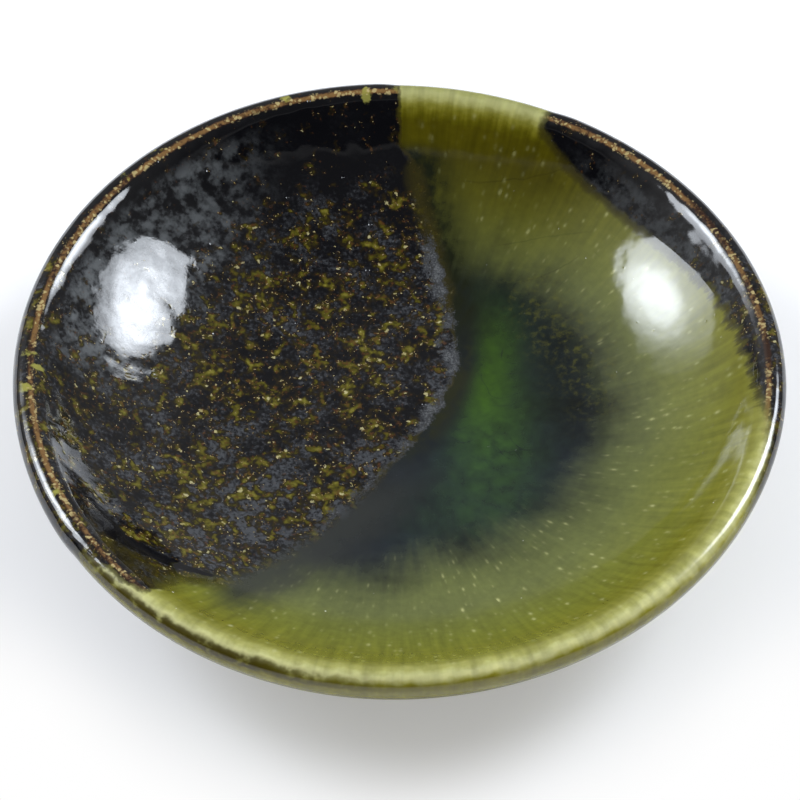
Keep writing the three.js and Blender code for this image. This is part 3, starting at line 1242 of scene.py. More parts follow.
@dataclass(frozen=True)
class GreenGlass:
    """Thick glass run together in the well: a green middle in a ring that is almost black."""

    ring_middle: tuple[float, float] = (3.3, 3.0)
    ring_fade: tuple[float, float] = (31.4, 19.0)
    ring_back: Colour = (0.005, 0.008, 0.010)
    ring_front: Colour = (0.007, 0.010, 0.016)
    glows: tuple[Glow, ...] = (
        Glow(x=11.7, y=12.5, width=2.8, height=4.8, strength=0.41),
        Glow(x=11.9, y=2.5, width=3.0, height=5.0, strength=0.40),
        Glow(x=12.6, y=-6.0, width=4.0, height=4.6, strength=0.28),
        Glow(x=9.5, y=-14.5, width=6.0, height=4.0, strength=0.17),
    )
    green_back: Colour = (0.040, 0.098, 0.002)
    green_front: Colour = (0.038, 0.094, 0.016)
    bank: Colour = (0.012, 0.013, 0.005)
    smoke: Colour = (0.007, 0.009, 0.003)
    fleck: Colour = (0.130, 0.122, 0.012)
    wrinkle_pitch: float = 2.7

    def paint(self, sheet: Sheet, place: Place, under: Layer) -> Layer:
        """The pooled glass over the glaze under it.

        Args:
            sheet: The material's nodes.
            place: Where the point lies.
            under: The glaze that shows round the pool.

        Returns:
            The layer.
        """
        wander = sheet.noise(place.position, size=8.0, seed=11.0, detail=3.0)
        streak = sheet.noise(place.drawn(sheet, 7.0), size=1.6, seed=12.0, detail=3.0)
        streak = streak * place.radius.rise(12.0, 20.0)
        grain = sheet.noise(place.position, size=1.3, seed=14.0, detail=3.0)
        x, y = place.x - self.ring_middle[0], place.y - self.ring_middle[1]
        lobe = x.rise(4.0, -10.0) * y.rise(-10.0, -24.0)
        reach = (x * x + y * y) ** 0.5 + 8.0 * wander + 3.0 * streak + 2.5 * grain - 5.5 * lobe
        depth = reach.rise(*self.ring_fade)
        front = place.y.rise(6.0, -8.0)
        ring = sheet.mix(self.ring_back, self.ring_front, front)
        ring = sheet.shade(ring, 1.0 + 2.0 * wander + 0.8 * grain)
        shore = place.left.rise(-4.5, -0.8) * (wander + 0.6 * grain).rise(-0.16, 0.12)
        ring = sheet.mix(ring, self.bank, shore * place.y.rise(-10.0, 0.0) * place.y.rise(18.0, 12.0))
        amount = self.glows[0].field(sheet, place, wander)
        for glow in self.glows[1:]:
            amount = amount + glow.field(sheet, place, wander)
        amount = amount * place.left.rise(-1.6, -4.6)
        cloudy = 1.0 + 1.3 * grain + 1.8 * wander
        amount = amount * (cloudy - self.leaves(sheet, place) - self.wrinkles(sheet, place))
        green = sheet.mix(self.green_back, self.green_front, place.y.rise(8.0, -6.0))
        pool = sheet.mix(ring, green, amount)
        colour = sheet.mix(under.colour, pool, depth * 0.98)
        haze = place.left.rise(-8.0, -0.8) * place.y.rise(10.0, 19.0) * place.crest.rise(-6.0, -9.0)
        colour = sheet.mix(colour, self.smoke, haze * (0.95 + 1.2 * streak + 1.2 * grain))
        motes = sheet.noise(place.position, size=0.8, seed=45.0)
        right = place.x.rise(12.0, 18.0) * place.y.rise(-4.0, 6.0) * reach.rise(14.0, 22.0) * depth
        colour = sheet.mix(colour, self.fleck, motes.rise(-0.05, 0.4) * right * 0.5)
        return Layer(colour, under.dull, under.relief)

    def leaves(self, sheet: Sheet, place: Place) -> Field:
        """Darker joins between leaf-like plates in the front of the glass.

        Args:
            sheet: The material's nodes.
            place: Where the point lies.

        Returns:
            How much darker it is, negative inside the plates.
        """
        bent = sheet.bent(place.position, scale=0.3, amount=2.5)
        joins = Field(sheet, sheet.cells(bent, 3.2, 15.0, "DISTANCE_TO_EDGE").outputs["Distance"])
        return (0.14 * joins.rise(0.12, 0.0) - 0.35 * joins.rise(0.1, 0.4)) * place.y.rise(4.0, -3.0)

    def wrinkles(self, sheet: Sheet, place: Place) -> Field:
        """A few long thin lines across the glass, at an even pitch along the well, each bent and broken.

        Args:
            sheet: The material's nodes.
            place: Where the point lies.

        Returns:
            How much darker it is.
        """
        sway = sheet.noise(place.position, size=9.0, seed=13.0)
        gap = sheet.noise(place.position, size=5.0, seed=16.0)
        turn = (place.y + 0.18 * place.x + 14.0 * sway) / self.wrinkle_pitch
        off = (sheet.maths("FRACT", turn) - 0.5).size()
        return 0.4 * off.rise(0.05, 0.0) * gap.rise(-0.02, 0.1) * place.y.rise(-9.0, -4.0)


@dataclass(frozen=True)
class BlackGlaze:
    """Iron black glaze: black glass with grey clouds, olive blotches, tan specks and rusty halos."""

    glass: Colour = (0.0030, 0.0030, 0.0040)
    cloud: Colour = (0.052, 0.055, 0.061)
    # Colour of the pale frost on the walls by the highlights: partly real frost, partly painted sheen from
    # their scattered light.
    frost_and_sheen: Colour = (0.112, 0.120, 0.126)
    umber: Colour = (0.013, 0.009, 0.003)
    rust: Colour = (0.070, 0.027, 0.008)
    blotch: Colour = (0.056, 0.048, 0.003)
    ripe: Colour = (0.172, 0.150, 0.024)
    gold: Colour = (0.260, 0.195, 0.055)
    cream: Colour = (0.470, 0.430, 0.230)
    lip_dark: Colour = (0.028, 0.013, 0.008)
    lip_amber: Colour = (0.165, 0.090, 0.032)
    bead: Colour = (0.390, 0.310, 0.140)
    dab: Colour = (0.250, 0.235, 0.050)
    run_start: float = -149.0
    run_bend: float = -141.8
    run_tip: float = -127.8
    run_radius: float = 41.9
    run_fall: float = 0.475
    run_width: tuple[float, float] = (0.40, 1.30)
    roughness: float = 0.05
    cloud_roughness: float = 0.07
    swell_height: float = 0.16
    ripple_height: float = 0.014
    grain_height: float = 0.003
    patch_height: float = 0.010
    pit_depth: float = 0.06

    def paint(self, sheet: Sheet, place: Place, run: Field) -> Layer:
        """The glaze's look: plain on the back wall, mottled elsewhere, rusty over the lip, with painted
        sheen by the highlights.

        Args:
            sheet: The material's nodes.
            place: Where the point lies.
            run: One in the glassy run at the front, nothing beside it.

        Returns:
            The layer.
        """
        spot = place.position
        fine = sheet.noise(spot, size=0.5, seed=21.0)
        stipple = sheet.noise(spot, size=0.24, seed=22.0, detail=1.0)
        clouds = sheet.noise(spot, size=4.5, seed=23.0, detail=3.0)
        bare = place.y.rise(10.0, 28.0) * place.crest.rise(-17.0, -9.0)
        plain = bare.above(run)
        front = place.y.rise(4.0, -18.0) * place.crest.rise(-8.0, -16.0)
        wall = place.crest.rise(-22.0, -12.0) * place.crest.rise(-1.5, -4.0)
        # Satin walls: the left wall round its highlight and, at under half, the right wall; the frost laid
        # there also carries painted sheen.
        satin = place.x.rise(-14.0, -28.0) * place.y.rise(-3.0, 9.0)
        satin = satin.above(0.45 * place.x.rise(20.0, 30.0)) * wall
        heat = self.heat(sheet, place) - 0.17 * bare - 0.5 * run - 0.1 * satin + 0.04 * front
        haze = (clouds + 0.6 * fine + 0.01 + 0.14 * front).rise(-0.10, 0.36) * (1.0 - 0.95 * plain)
        haze = haze * (1.0 - 0.85 * heat.rise(-0.04, 0.10))
        grey = haze * (0.65 + 1.4 * stipple + 2.4 * fine + 0.35 * front)
        colour = sheet.mix(self.glass, self.cloud, grey)
        # Pale frost on the satin walls: partly real frost and partly painted sheen, light scattered from the
        # highlights.
        fumes = sheet.noise(spot, size=1.5, seed=34.0, detail=3.0)
        frost_and_sheen_cover = (fumes + 0.6 * clouds + 0.3 * fine).rise(-0.16, 0.24) * satin * (1.0 - 0.3 * plain)
        colour = sheet.mix(colour, self.frost_and_sheen, frost_and_sheen_cover)
        colour = sheet.mix(colour, self.umber, heat.rise(-0.07, 0.10) * 0.9)
        colour = sheet.mix(colour, sheet.shade(self.blotch, 1.0 + 1.4 * fine), heat.rise(0.06, 0.21))
        colour = sheet.mix(colour, self.ripe, heat.rise(0.16, 0.36) * (0.8 + 1.5 * stipple))
        colour = self.specked(sheet, place, colour, heat)
        colour = self.break_on_lip(sheet, place, colour, fine)
        uneven = sheet.noise(spot, size=4.2, seed=29.0, detail=1.0)
        pits, _ = sheet.specks(spot, size=3.4, seed=30.0, share=0.6, radius=0.08)
        ripple = sheet.noise(spot, size=1.2, seed=44.0)
        relief = self.swell_height * uneven + self.ripple_height * ripple * satin + self.grain_height * fine
        relief = relief + self.patch_height * heat.rise(0.0, 0.4) - self.pit_depth * pits.rise(0.6, 1.4)
        return Layer(colour, self.roughness + self.cloud_roughness * haze, relief)

    def heat(self, sheet: Sheet, place: Place) -> Field:
        """Where iron has come out of the glaze: the sum of noise of three sizes.

        Args:
            sheet: The material's nodes.
            place: Where the point lies.

        Returns:
            Noise that is high in the middle of a patch.
        """
        patch = sheet.noise(place.position, size=1.9, seed=24.0, detail=1.5, swirl=0.5)
        lump = sheet.noise(place.position, size=0.75, seed=35.0, detail=1.0)
        wide = sheet.noise(place.position, size=8.0, seed=38.0)
        return patch + 0.5 * lump + 0.25 * wide

    def specked(self, sheet: Sheet, place: Place, under: Tint, heat: Field) -> bpy.types.NodeSocket:
        """Rust and small gold and cream specks, most of them on the patches.

        Args:
            sheet: The material's nodes.
            place: Where the point lies.
            under: Colour of the glaze under them.
            heat: Where the patches are.

        Returns:
            The colour.
        """
        bent = sheet.bent(place.position, scale=1.6, amount=1.1)
        rusty = sheet.noise(place.position, size=0.7, seed=39.0) + 0.4 * heat
        colour = sheet.mix(under, self.rust, rusty.rise(0.10, 0.26) * 0.65)
        dust, faint = sheet.specks(bent, size=0.5, seed=25.0, share=0.8, radius=0.27)
        dust = dust * (heat + 0.04).rise(-0.16, 0.1)
        colour = sheet.mix(colour, self.rust, dust.rise(0.55, 0.95) * 0.6)
        pale = sheet.mix(self.gold, self.cream, faint**2.0)
        colour = sheet.mix(colour, pale, dust.rise(0.8, 1.7) * 0.7)
        grains, chance = sheet.specks(bent, size=1.15, seed=40.0, share=0.6, radius=0.26)
        grains = grains * (heat + 0.02).rise(-0.12, 0.14)
        return sheet.mix(colour, sheet.mix(self.gold, self.cream, chance), grains.rise(0.75, 1.25) * 0.7)

    def glassy_run(self, sheet: Sheet, place: Place) -> tuple[Field, Field]:
        """The plain glassy run at the front of the pour, and the thin glaze between it and the lip.

        Its middle keeps a radius along the lip, then falls evenly with the angle to its tip while it
        narrows.

        Args:
            sheet: The material's nodes.
            place: Where the point lies.

        Returns:
            One in the run, nothing beside it, and one in the thin glaze.
        """
        angle = sheet.maths("ARCTAN2", place.y, place.x) * math.degrees(1.0)
        fall = (angle - self.run_bend) * self.run_fall + 1.0
        middle = self.run_radius - fall.above(0.0)
        wave = sheet.noise(place.position, size=1.2, seed=43.0)
        past = place.radius - middle + 0.8 * wave
        narrow, wide = self.run_width
        half = narrow + (wide - narrow) * angle.rise(self.run_tip - 0.5, self.run_bend)
        ends = angle.rise(self.run_tip, self.run_tip - 2.0)
        ends = ends * angle.rise(self.run_start - 3.0, self.run_start + 3.0)
        front = place.y.rise(-17.0, -23.0) * place.crest.rise(-0.6, -1.6)
        thin = past.rise(0.9, 2.2) * angle.rise(self.run_start, self.run_bend) * front
        return (past.size() / half).rise(1.25, 0.8) * ends, thin

    def break_on_lip(self, sheet: Sheet, place: Place, under: Tint, fine: Field) -> bpy.types.NodeSocket:
        """The thin amber line where the glaze breaks over the lip, with its beads and olive dabs.

        Args:
            sheet: The material's nodes.
            place: Where the point lies.
            under: Colour of the glaze beside the lip.
            fine: Fine noise that roughens the outlines.

        Returns:
            The colour.
        """
        wave = sheet.noise(place.drawn(sheet, 0.5), size=3.0, seed=27.0, detail=3.0)
        stretch = sheet.noise(place.drawn(sheet, 4.0), size=9.0, seed=36.0)
        bent = sheet.bent(place.run, scale=0.9, amount=1.2)
        beads, kind = sheet.specks(bent, size=0.5, seed=28.0, share=0.9, radius=0.5)
        dabs, _ = sheet.specks(place.drawn(sheet, 1.8), size=2.6, seed=37.0, share=0.6, radius=0.25)
        off = (place.crest + 0.16 + 0.35 * wave + 0.3 * fine).size()
        colour = sheet.mix(under, self.lip_dark, off.rise(0.42, 0.2))
        amber = off.rise(0.32, 0.1) * (stretch + 0.5 * wave + 0.8 * fine).rise(-0.2, 0.1)
        colour = sheet.mix(colour, self.lip_amber, amber)
        dab = (dabs + 1.2 * fine).rise(0.8, 1.3) * (place.crest + 0.5).size().rise(1.6, 0.9)
        colour = sheet.mix(colour, self.dab, dab * place.x.rise(10.0, -10.0))
        bead = (beads + 0.8 * fine).rise(0.8, 1.2) * off.rise(0.48, 0.25)
        bead = bead * (wave + 0.7 * stretch).rise(-0.2, 0.0)
        return sheet.mix(colour, self.bead, bead * (0.4 + 0.6 * kind))


@dataclass(frozen=True)
class CrystalFringe:
    """Grey crystals that grew along the left pour where it met the glass."""

    grey: Colour = (0.036, 0.038, 0.042)
    pale: Colour = (0.088, 0.091, 0.094)
    width: float = 1.8
    roughness: float = 0.15

    def paint(self, sheet: Sheet, place: Place, edge: Field, under: Layer) -> Layer:
        """Feathery crystals along an edge.

        Args:
            sheet: The material's nodes.
            place: Where the point lies.
            edge: Distance inside the pour's ragged edge.
            under: What shows under the crystals.

        Returns:
            The layer.
        """
        branch = sheet.noise(place.position, size=2.0, seed=31.0, detail=4.0, grain=0.65, swirl=1.2)
        stipple = sheet.noise(place.position, size=0.22, seed=33.0, detail=1.0)
        patch = sheet.noise(place.position, size=4.0, seed=32.0)
        here = place.y.rise(33.0, 26.0) * place.y.rise(-24.0, -12.0)
        band = edge.rise(-1.3, 0.1) * edge.rise(2.0 * self.width, 0.2) * here
        grown = band + 2.4 * branch + 1.0 * stipple + 2.8 * patch - 0.9 + 0.2 * place.y.rise(-6.0, 6.0)
        crystal = grown.rise(-0.15, 0.45) * band.rise(0.0, 0.3)
        colour = sheet.mix(under.colour, self.grey, crystal * 0.95)
        colour = sheet.mix(colour, self.pale, crystal * (grown + 1.2 * stipple).rise(0.35, 1.0))
        return Layer(colour, under.dull + self.roughness * crystal, under.relief)


@dataclass(frozen=True)
class RunGlazes:
    """The glazes as they ran together, shared by every glazed piece so that their joins match."""

    olive: OliveGlaze = OliveGlaze()
    green: GreenGlass = GreenGlass()
    black: BlackGlaze = BlackGlaze()
    fringe: CrystalFringe = CrystalFringe()
    tinge: Colour = (0.034, 0.027, 0.004)
    veil: Colour = (0.024, 0.026, 0.024)
    ior: float = 1.58

    def material(self, slot: Slot) -> bpy.types.Material:
        """The material of one glazed piece, named by its slot in the record."""
        return fired(slot, self.ior, self.melt)

    def melt(self, sheet: Sheet, place: Place) -> Layer:
        """Lays the glazes over each other: olive, the pooled glass, then the two black pours.

        Args:
            sheet: The material's nodes.
            place: Where the point lies.

        Returns:
            The layer that shows.
        """
        pooled = self.green.paint(sheet, place, self.olive.paint(sheet, place))
        run, thin = self.black.glassy_run(sheet, place)
        black = self.black.paint(sheet, place, run)
        ragged = sheet.noise(place.position, size=2.4, seed=41.0, detail=4.0, grain=0.6)
        teeth = sheet.noise(place.drawn(sheet, 7.0), size=0.75, seed=42.0)
        left = place.left + 2.0 * ragged
        soft = place.y.rise(-4.0, -14.0) * place.x.rise(-24.0, -19.0)
        smoky = place.y.rise(16.0, 24.0) * place.y.rise(39.2, 37.5)
        under_run = place.x.rise(-19.0, -22.0) * place.y.rise(-24.0, -27.0) * place.crest.rise(-1.5, -4.0)
        veil = (place.left + 4.0 * ragged).rise(-9.0, -2.0) * soft
        cover_left = (left / (0.45 + 1.8 * smoky + 1.4 * soft + 1.8 * under_run)).rise(-1.0, 0.8)
        cover_left = cover_left.above(run)
        comb = teeth * place.y.rise(26.0, 8.0) * place.crest.rise(-0.3, -1.6)
        right = place.right + 1.4 * ragged + 2.6 * comb - 0.5 * place.y.rise(20.0, 8.0)
        cover = cover_left.above(right.rise(-0.9, 0.6))
        tinge = (cover * (1.0 - cover) * (1.0 - soft) * 2.4).above(cover * thin * (0.5 + 2.0 * ragged))
        veiled = sheet.mix(pooled.colour, self.veil, veil * 0.9)
        level = place.left.above(place.right).rise(-1.0, 1.0)
        joined = Layer(
            sheet.mix(sheet.mix(veiled, black.colour, cover), self.tinge, tinge),
            pooled.dull + (black.dull - pooled.dull) * cover,
            pooled.relief + (black.relief - pooled.relief) * level,
        )
        return self.fringe.paint(sheet, place, left, joined)


@dataclass(frozen=True)
class BareStoneware:
    """Unglazed clay: buff, toasted near the glaze, with iron specks and fine turning lines."""

    buff: Colour = (0.42, 0.30, 0.19)
    toast: Colour = (0.30, 0.15, 0.065)
    iron: Colour = (0.07, 0.038, 0.02)
    foot_reach: float = ThrownClay.foot_radius / MM
    flash_width: float = 4.0
    roughness: float = 0.86
    grit_roughness: float = 0.1
    grit_height: float = 0.05
    turning_height: float = 0.05
    ior: float = 1.5

    def material(self) -> bpy.types.Material:
        """The material of the clay."""
        return fired(Slot.CLAY, self.ior, self.paint)

    def paint(self, sheet: Sheet, place: Place) -> Layer:
        """The clay's own look, with lines drawn out round the dish by the turning.

        Args:
            sheet: The material's nodes.
            place: Where the point lies.

        Returns:
            The layer.
        """
        grit = sheet.noise(place.position, size=0.35, seed=51.0, detail=3.0)
        cloud = sheet.noise(place.position, size=6.0, seed=52.0)
        turning = sheet.noise(place.drawn(sheet, 0.02), size=14.0, seed=53.0, detail=3.0)
        near, _ = sheet.specks(place.position, size=1.5, seed=54.0, share=0.4, radius=0.14)
        flash = (place.radius + 5.0 * cloud).rise(self.foot_reach, self.foot_reach + self.flash_width)
        colour = sheet.mix(self.buff, self.toast, flash * 0.8)
        colour = sheet.shade(colour, 1.0 + 0.5 * grit + 0.5 * cloud + 0.35 * turning)
        colour = sheet.mix(colour, self.iron, near.rise(0.8, 1.2) * 0.8)
        relief = self.grit_height * grit + self.turning_height * turning
        return Layer(colour, self.roughness + self.grit_roughness * grit, relief)


@dataclass(frozen=True)
class Disc:
    """A round chart for baking, with the pole of a turned surface in its middle."""

    middle: float
    radius: float

    def chart(self, reach: Array, angle: Array) -> Array:
        """Chart places: reach becomes the distance from the middle, as a share of the chart's radius.

        Args:
            reach: Share of the chart's radius.
            angle: Turn, in radians.

        Returns:
            Rows of u and v, the pole first.
        """
        places = self.middle + (self.radius * reach)[..., None] * facing(angle)
        return np.concatenate([np.full((1, 2), self.middle), places.reshape(-1, 2)])


@dataclass(frozen=True)
class ClayBody:
    """The thrown clay, seen at the foot ring, in its recess and on the bare strip above the foot."""

    ware: Ware
    name: str = "clay"
    columns: int = 300
    wall_rows: int = 120
    foot_rows: int = 110
    ripple: float = 0.045 * MM
    ripple_pitch: float = 1.9 * MM
    ripple_start: float = 0.8
    still_middle: float = 4.0 * MM
    chart_overlap: float = 4.0 * MM
    hidden_chart: Disc = Disc(0.085, 0.08)
    shown_chart: Disc = Disc(0.5, 0.49)

    def build(self) -> bpy.types.Object:
        """Turns the whole section about the axis, with shallow turning rings on the underside.

        Returns:
            The piece.
        """
        clay = self.ware.clay
        wall = evenly(clay.wall_points(), self.wall_rows)
        foot = evenly(np.concatenate([clay.root[None], clay.foot_points()]), self.foot_rows)[1:]
        line = np.concatenate([wall, foot])
        section = Section.along(line)
        under = smoothstep(clay.recess_depth * self.ripple_start, clay.recess_depth, section.height)
        under = under * (section.arc > section.arc_at_height(clay.glaze_line()))
        under = under * smoothstep(0.0, self.still_middle, section.radius)
        rings = self.ripple * np.cos(TURN * section.radius / self.ripple_pitch) * under
        angle = np.linspace(0.0, TURN, self.columns, endpoint=False)
        arc, turn = np.meshgrid(section.arc, angle, indexing="ij")
        radius, height = section.place(arc, rings[:, None])
        grid = clay.spin(radius, height, turn)
        return self.closed(section, grid, arc, turn)

    def closed(self, section: Section, grid: Array, arc: Array, turn: Array) -> bpy.types.Object:
        """Closes the turned grid with one vertex at each pole.

        Args:
            section: The whole section.
            grid: Points by row and column.
            arc: Arc of each point.
            turn: Angle of each point.

        Returns:
            The piece.
        """
        body = grid[1:-1]
        rows, columns = body.shape[:2]
        points = np.concatenate([grid[:1, 0], body.reshape(-1, 3), grid[-1:, 0]])
        index = 1 + np.arange(rows * columns).reshape(rows, columns)
        top, bottom = 0, len(points) - 1
        first, last = index[0], index[-1]
        whole = section.arc[-1]
        cap = np.stack([np.full(columns, top), first, np.roll(first, -1)], axis=-1)
        base = np.stack([last, np.full(columns, bottom), np.roll(last, -1)], axis=-1)
        split = section.arc_at_height(self.ware.clay.glaze_line())
        hidden = self.hidden_chart.chart(arc[1:-1] / whole, turn[1:-1])
        hidden = np.concatenate([hidden, hidden[:1]])
        below = (whole - arc[1:-1]) / (whole - split + self.chart_overlap)
        shown = np.clip(self.shown_chart.chart(below, turn[1:-1]), 0.0, 1.0)
        shown = np.concatenate([shown, shown[:1]])
        row_split = int(np.searchsorted(section.arc[1:-1], split - self.chart_overlap))
        sides = quads(index, True).reshape(rows - 1, -1, 4)
        sets = [
            FaceSet(cap, hidden),
            FaceSet(sides[:row_split].reshape(-1, 4), hidden),
            FaceSet(sides[row_split:].reshape(-1, 4), shown),
            FaceSet(base, shown),
        ]
        crest = np.concatenate([[arc[0, 0]], arc[1:-1].ravel(), [arc[-1, 0]]])
        marks = {Mark.CREST: (crest - self.ware.crest) / MM}
        return mesh_piece(self.name, points, sets, marks)

    def dress(self, piece: bpy.types.Object) -> None:
        """Gives the clay its finish and its place in the part.

        Args:
            piece: The built piece.
        """
        piece.data.materials.append(BareStoneware().material())
        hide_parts("clay_body")
        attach(piece, BODY)


@dataclass(frozen=True)
class GlazedPiece:
    """A layer of glaze: a grid on the skin of the dish with a top, an underside and an edge wall."""

    ware: Ware
    name: str
    node: str
    slot: Slot

    def dress(self, piece: bpy.types.Object, glazes: RunGlazes) -> None:
        """Gives the glaze its finish and its place in the part.

        Args:
            piece: The built piece.
            glazes: The finish that all glazed pieces share.
        """
        piece.data.materials.append(glazes.material(self.slot))
        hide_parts(self.node)
        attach(piece, BODY)

    def sheet_of(self, arc: Array, angle: Array, low: Array, high: Array) -> bpy.types.Object:
        """A closed patch of glaze between two depths.

        Args:
            arc: Distance along the section by row and column, with rows outwards.
            angle: Turn about the axis, in radians, with columns counter-clockwise.
            low: Depth of its underside.
            high: Depth of its top.

        Returns:
            The piece.
        """
        rows, columns = arc.shape
        top = self.ware.skin(arc, angle, high)
        under = self.ware.skin(arc, angle, low)
        index = np.arange(rows * columns).reshape(rows, columns)
        shift = rows * columns
        loop = rim_of(index)
        ahead = np.roll(loop, -1)
        wall = np.stack([loop, ahead, ahead + shift, loop + shift], axis=-1)
        v, u = np.meshgrid(np.linspace(0.0, 1.0, rows), np.linspace(0.0, 1.0, columns), indexing="ij")
        shown = np.stack([u, SHOWN_SHARE * v], axis=-1).reshape(-1, 2)
        hidden = np.stack([u, 1.0 - HIDDEN_SHARE + HIDDEN_SHARE * v], axis=-1).reshape(-1, 2)
        faces = quads(index, False)
        sets = [
            FaceSet(faces, np.concatenate([shown, shown])),
            FaceSet(faces[:, ::-1] + shift, np.concatenate([hidden, hidden])),
            FaceSet(wall, np.concatenate([shown, shown])),
        ]
        marks = {mark: np.tile(values.ravel(), 2) for mark, values in self.ware.marks(arc, angle).items()}
        points = np.concatenate([top.reshape(-1, 3), under.reshape(-1, 3)])
        return mesh_piece(self.name, points, sets, marks)


@dataclass(frozen=True)
class OliveCoat(GlazedPiece):
    """The olive coat over the whole dish, from the middle of the well to the glaze line."""

    columns: int = 330
    rows: int = 145
    hidden_chart: Disc = Disc(0.07, 0.065)
    shown_chart: Disc = Disc(0.5, 0.498)

    def build(self) -> bpy.types.Object:
        """Turns the coat's section about the axis.

        Rows are even shares of the arc from the middle to the lower edge, and columns go round.

        Returns:
            The piece.
        """
        ware = self.ware
        angle = np.linspace(0.0, TURN, self.columns, endpoint=False)
        end = ware.coat_end(angle)
        share = np.linspace(0.0, 1.0, self.rows)[1:, None]
        arc = share * end
        turn = np.broadcast_to(angle, arc.shape)
        high = ware.depths.coat_at(arc, ware.crest, end)
        low = np.full_like(arc, ware.depths.bond * 0.5)
        top = ware.skin(arc, turn, high)
        under = ware.skin(arc, turn, low)
        rows, columns = arc.shape
        middle = np.array([0.0])
        poles = [ware.skin(middle, middle, np.array([d])) for d in (high[0, 0], low[0, 0])]
        points = np.concatenate([poles[0], top.reshape(-1, 3), poles[1], under.reshape(-1, 3)])
        index = 1 + np.arange(rows * columns).reshape(rows, columns)
        shift = 1 + rows * columns
        cap = np.stack([np.zeros(columns, int), index[0], np.roll(index[0], -1)], axis=-1)
        last, beside = np.roll(index[-1], -1), index[-1]
        wall = np.stack([last, beside, beside + shift, last + shift], axis=-1)
        shown = np.tile(self.shown_chart.chart(arc / end.max(), turn), (2, 1))
        hidden = np.tile(self.hidden_chart.chart(arc / end.max(), turn), (2, 1))
        faces = quads(index, True)
        sets = [
            FaceSet(cap, shown),
            FaceSet(faces, shown),
            FaceSet(wall, shown),
            FaceSet(cap[:, ::-1] + shift, hidden),
            FaceSet(faces[:, ::-1] + shift, hidden),
        ]
        marks = {}
        at_middle = ware.marks(middle, middle)
        for mark, values in ware.marks(arc, turn).items():
            marks[mark] = np.tile(np.concatenate([at_middle[mark], values.ravel()]), 2)
        return mesh_piece(self.name, points, sets, marks)


@dataclass(frozen=True)
class BlackPour(GlazedPiece):
    """A black pour over one side of the rim, inside and outside."""

    edge: PourEdge
    columns: int = 220
    well_rows: int = 100
    wall_rows: int = 44
    lowest: float = 30.0 * MM
    nose_gap: float = 0.4 * MM

    def build(self) -> bpy.types.Object:
        """Fits a grid to the pour: straight lines from its edge in the well to the lip, then down the wall.

        In the well, row w of column u is the point a share w along the straight line, seen from above, from
        the edge to the top of the lip. On the outer wall, column u is the same share of the way round
        between the angles at which the edge crosses that radius.

        Returns:
            The piece.
        """
        ware = self.ware
        share = np.linspace(0.0, 1.0, self.columns)
        lip = float(ware.section.radius_at(np.array(ware.crest)))
        front, back = self.edge.sides(np.array(lip))
        start = min(front, back) + share * abs(back - front)
        rim = lip * facing(start)
        inner = evenly(self.edge.inner(), self.columns)
        if front > back:
            inner = inner[::-1]
        w = np.linspace(0.0, 1.0, self.well_rows)[:, None, None]
        plan = (1.0 - w) * inner + w * rim
        radius = np.linalg.norm(plan, axis=-1)
        well_arc = ware.section.arc_inside(radius)
        well_turn = np.unwrap(np.arctan2(plan[..., 1], plan[..., 0]), axis=1)
        well_turn += TURN * np.round((start - well_turn[-1]) / TURN)
        nose = float(np.linalg.norm(self.edge.inner(), axis=1).min())
        reach = max(self.lowest, nose + self.nose_gap)
        down = np.linspace(ware.crest, ware.section.arc_outside(reach), self.wall_rows + 1)[1:]
        out_front, out_back = self.edge.sides(ware.section.radius_at(down))
        out_start = np.minimum(out_front, out_back)
        out_sweep = np.abs(out_back - out_front)
        wall_turn = out_start[:, None] + share * out_sweep[:, None]
        wall_arc = np.broadcast_to(down[:, None], wall_turn.shape)
        arc = np.concatenate([well_arc, wall_arc])
        turn = np.concatenate([well_turn, wall_turn])
        return self.laid(arc, turn)

    def laid(self, arc: Array, turn: Array) -> bpy.types.Object:
        """Lays the pour on the coat, level with the glass where it is deep in the well.

        Args:
            arc: Distance along the section by row and column.
            turn: Angle by row and column.

        Returns:
            The piece.
        """
        ware = self.ware
        plan_radius = ware.section.radius_at(arc)
        plan = plan_radius[..., None] * facing(turn)
        inside = arc < ware.crest
        coat = ware.depths.coat_at(arc, ware.crest, ware.coat_end(turn)) + ware.depths.bond
        glass = np.where(inside, ware.depths.glass_at(plan_radius), 0.0)
        into = np.minimum(self.edge.into(plan), np.where(inside, np.inf, arc.max() - arc))
        pour = ware.depths.pour_at(arc, ware.crest, into)
        shore = ware.depths.glass_radius
        fade = smoothstep(shore - ware.depths.shore_fade, shore, plan_radius)
        beyond = np.where(inside, fade, 1.0)
        sunk = ware.depths.sunk * beyond * (1.0 - smoothstep(0.0, ware.depths.sunk_width, into))
        return self.sheet_of(arc, turn, coat - sunk, coat + glass + pour - sunk)


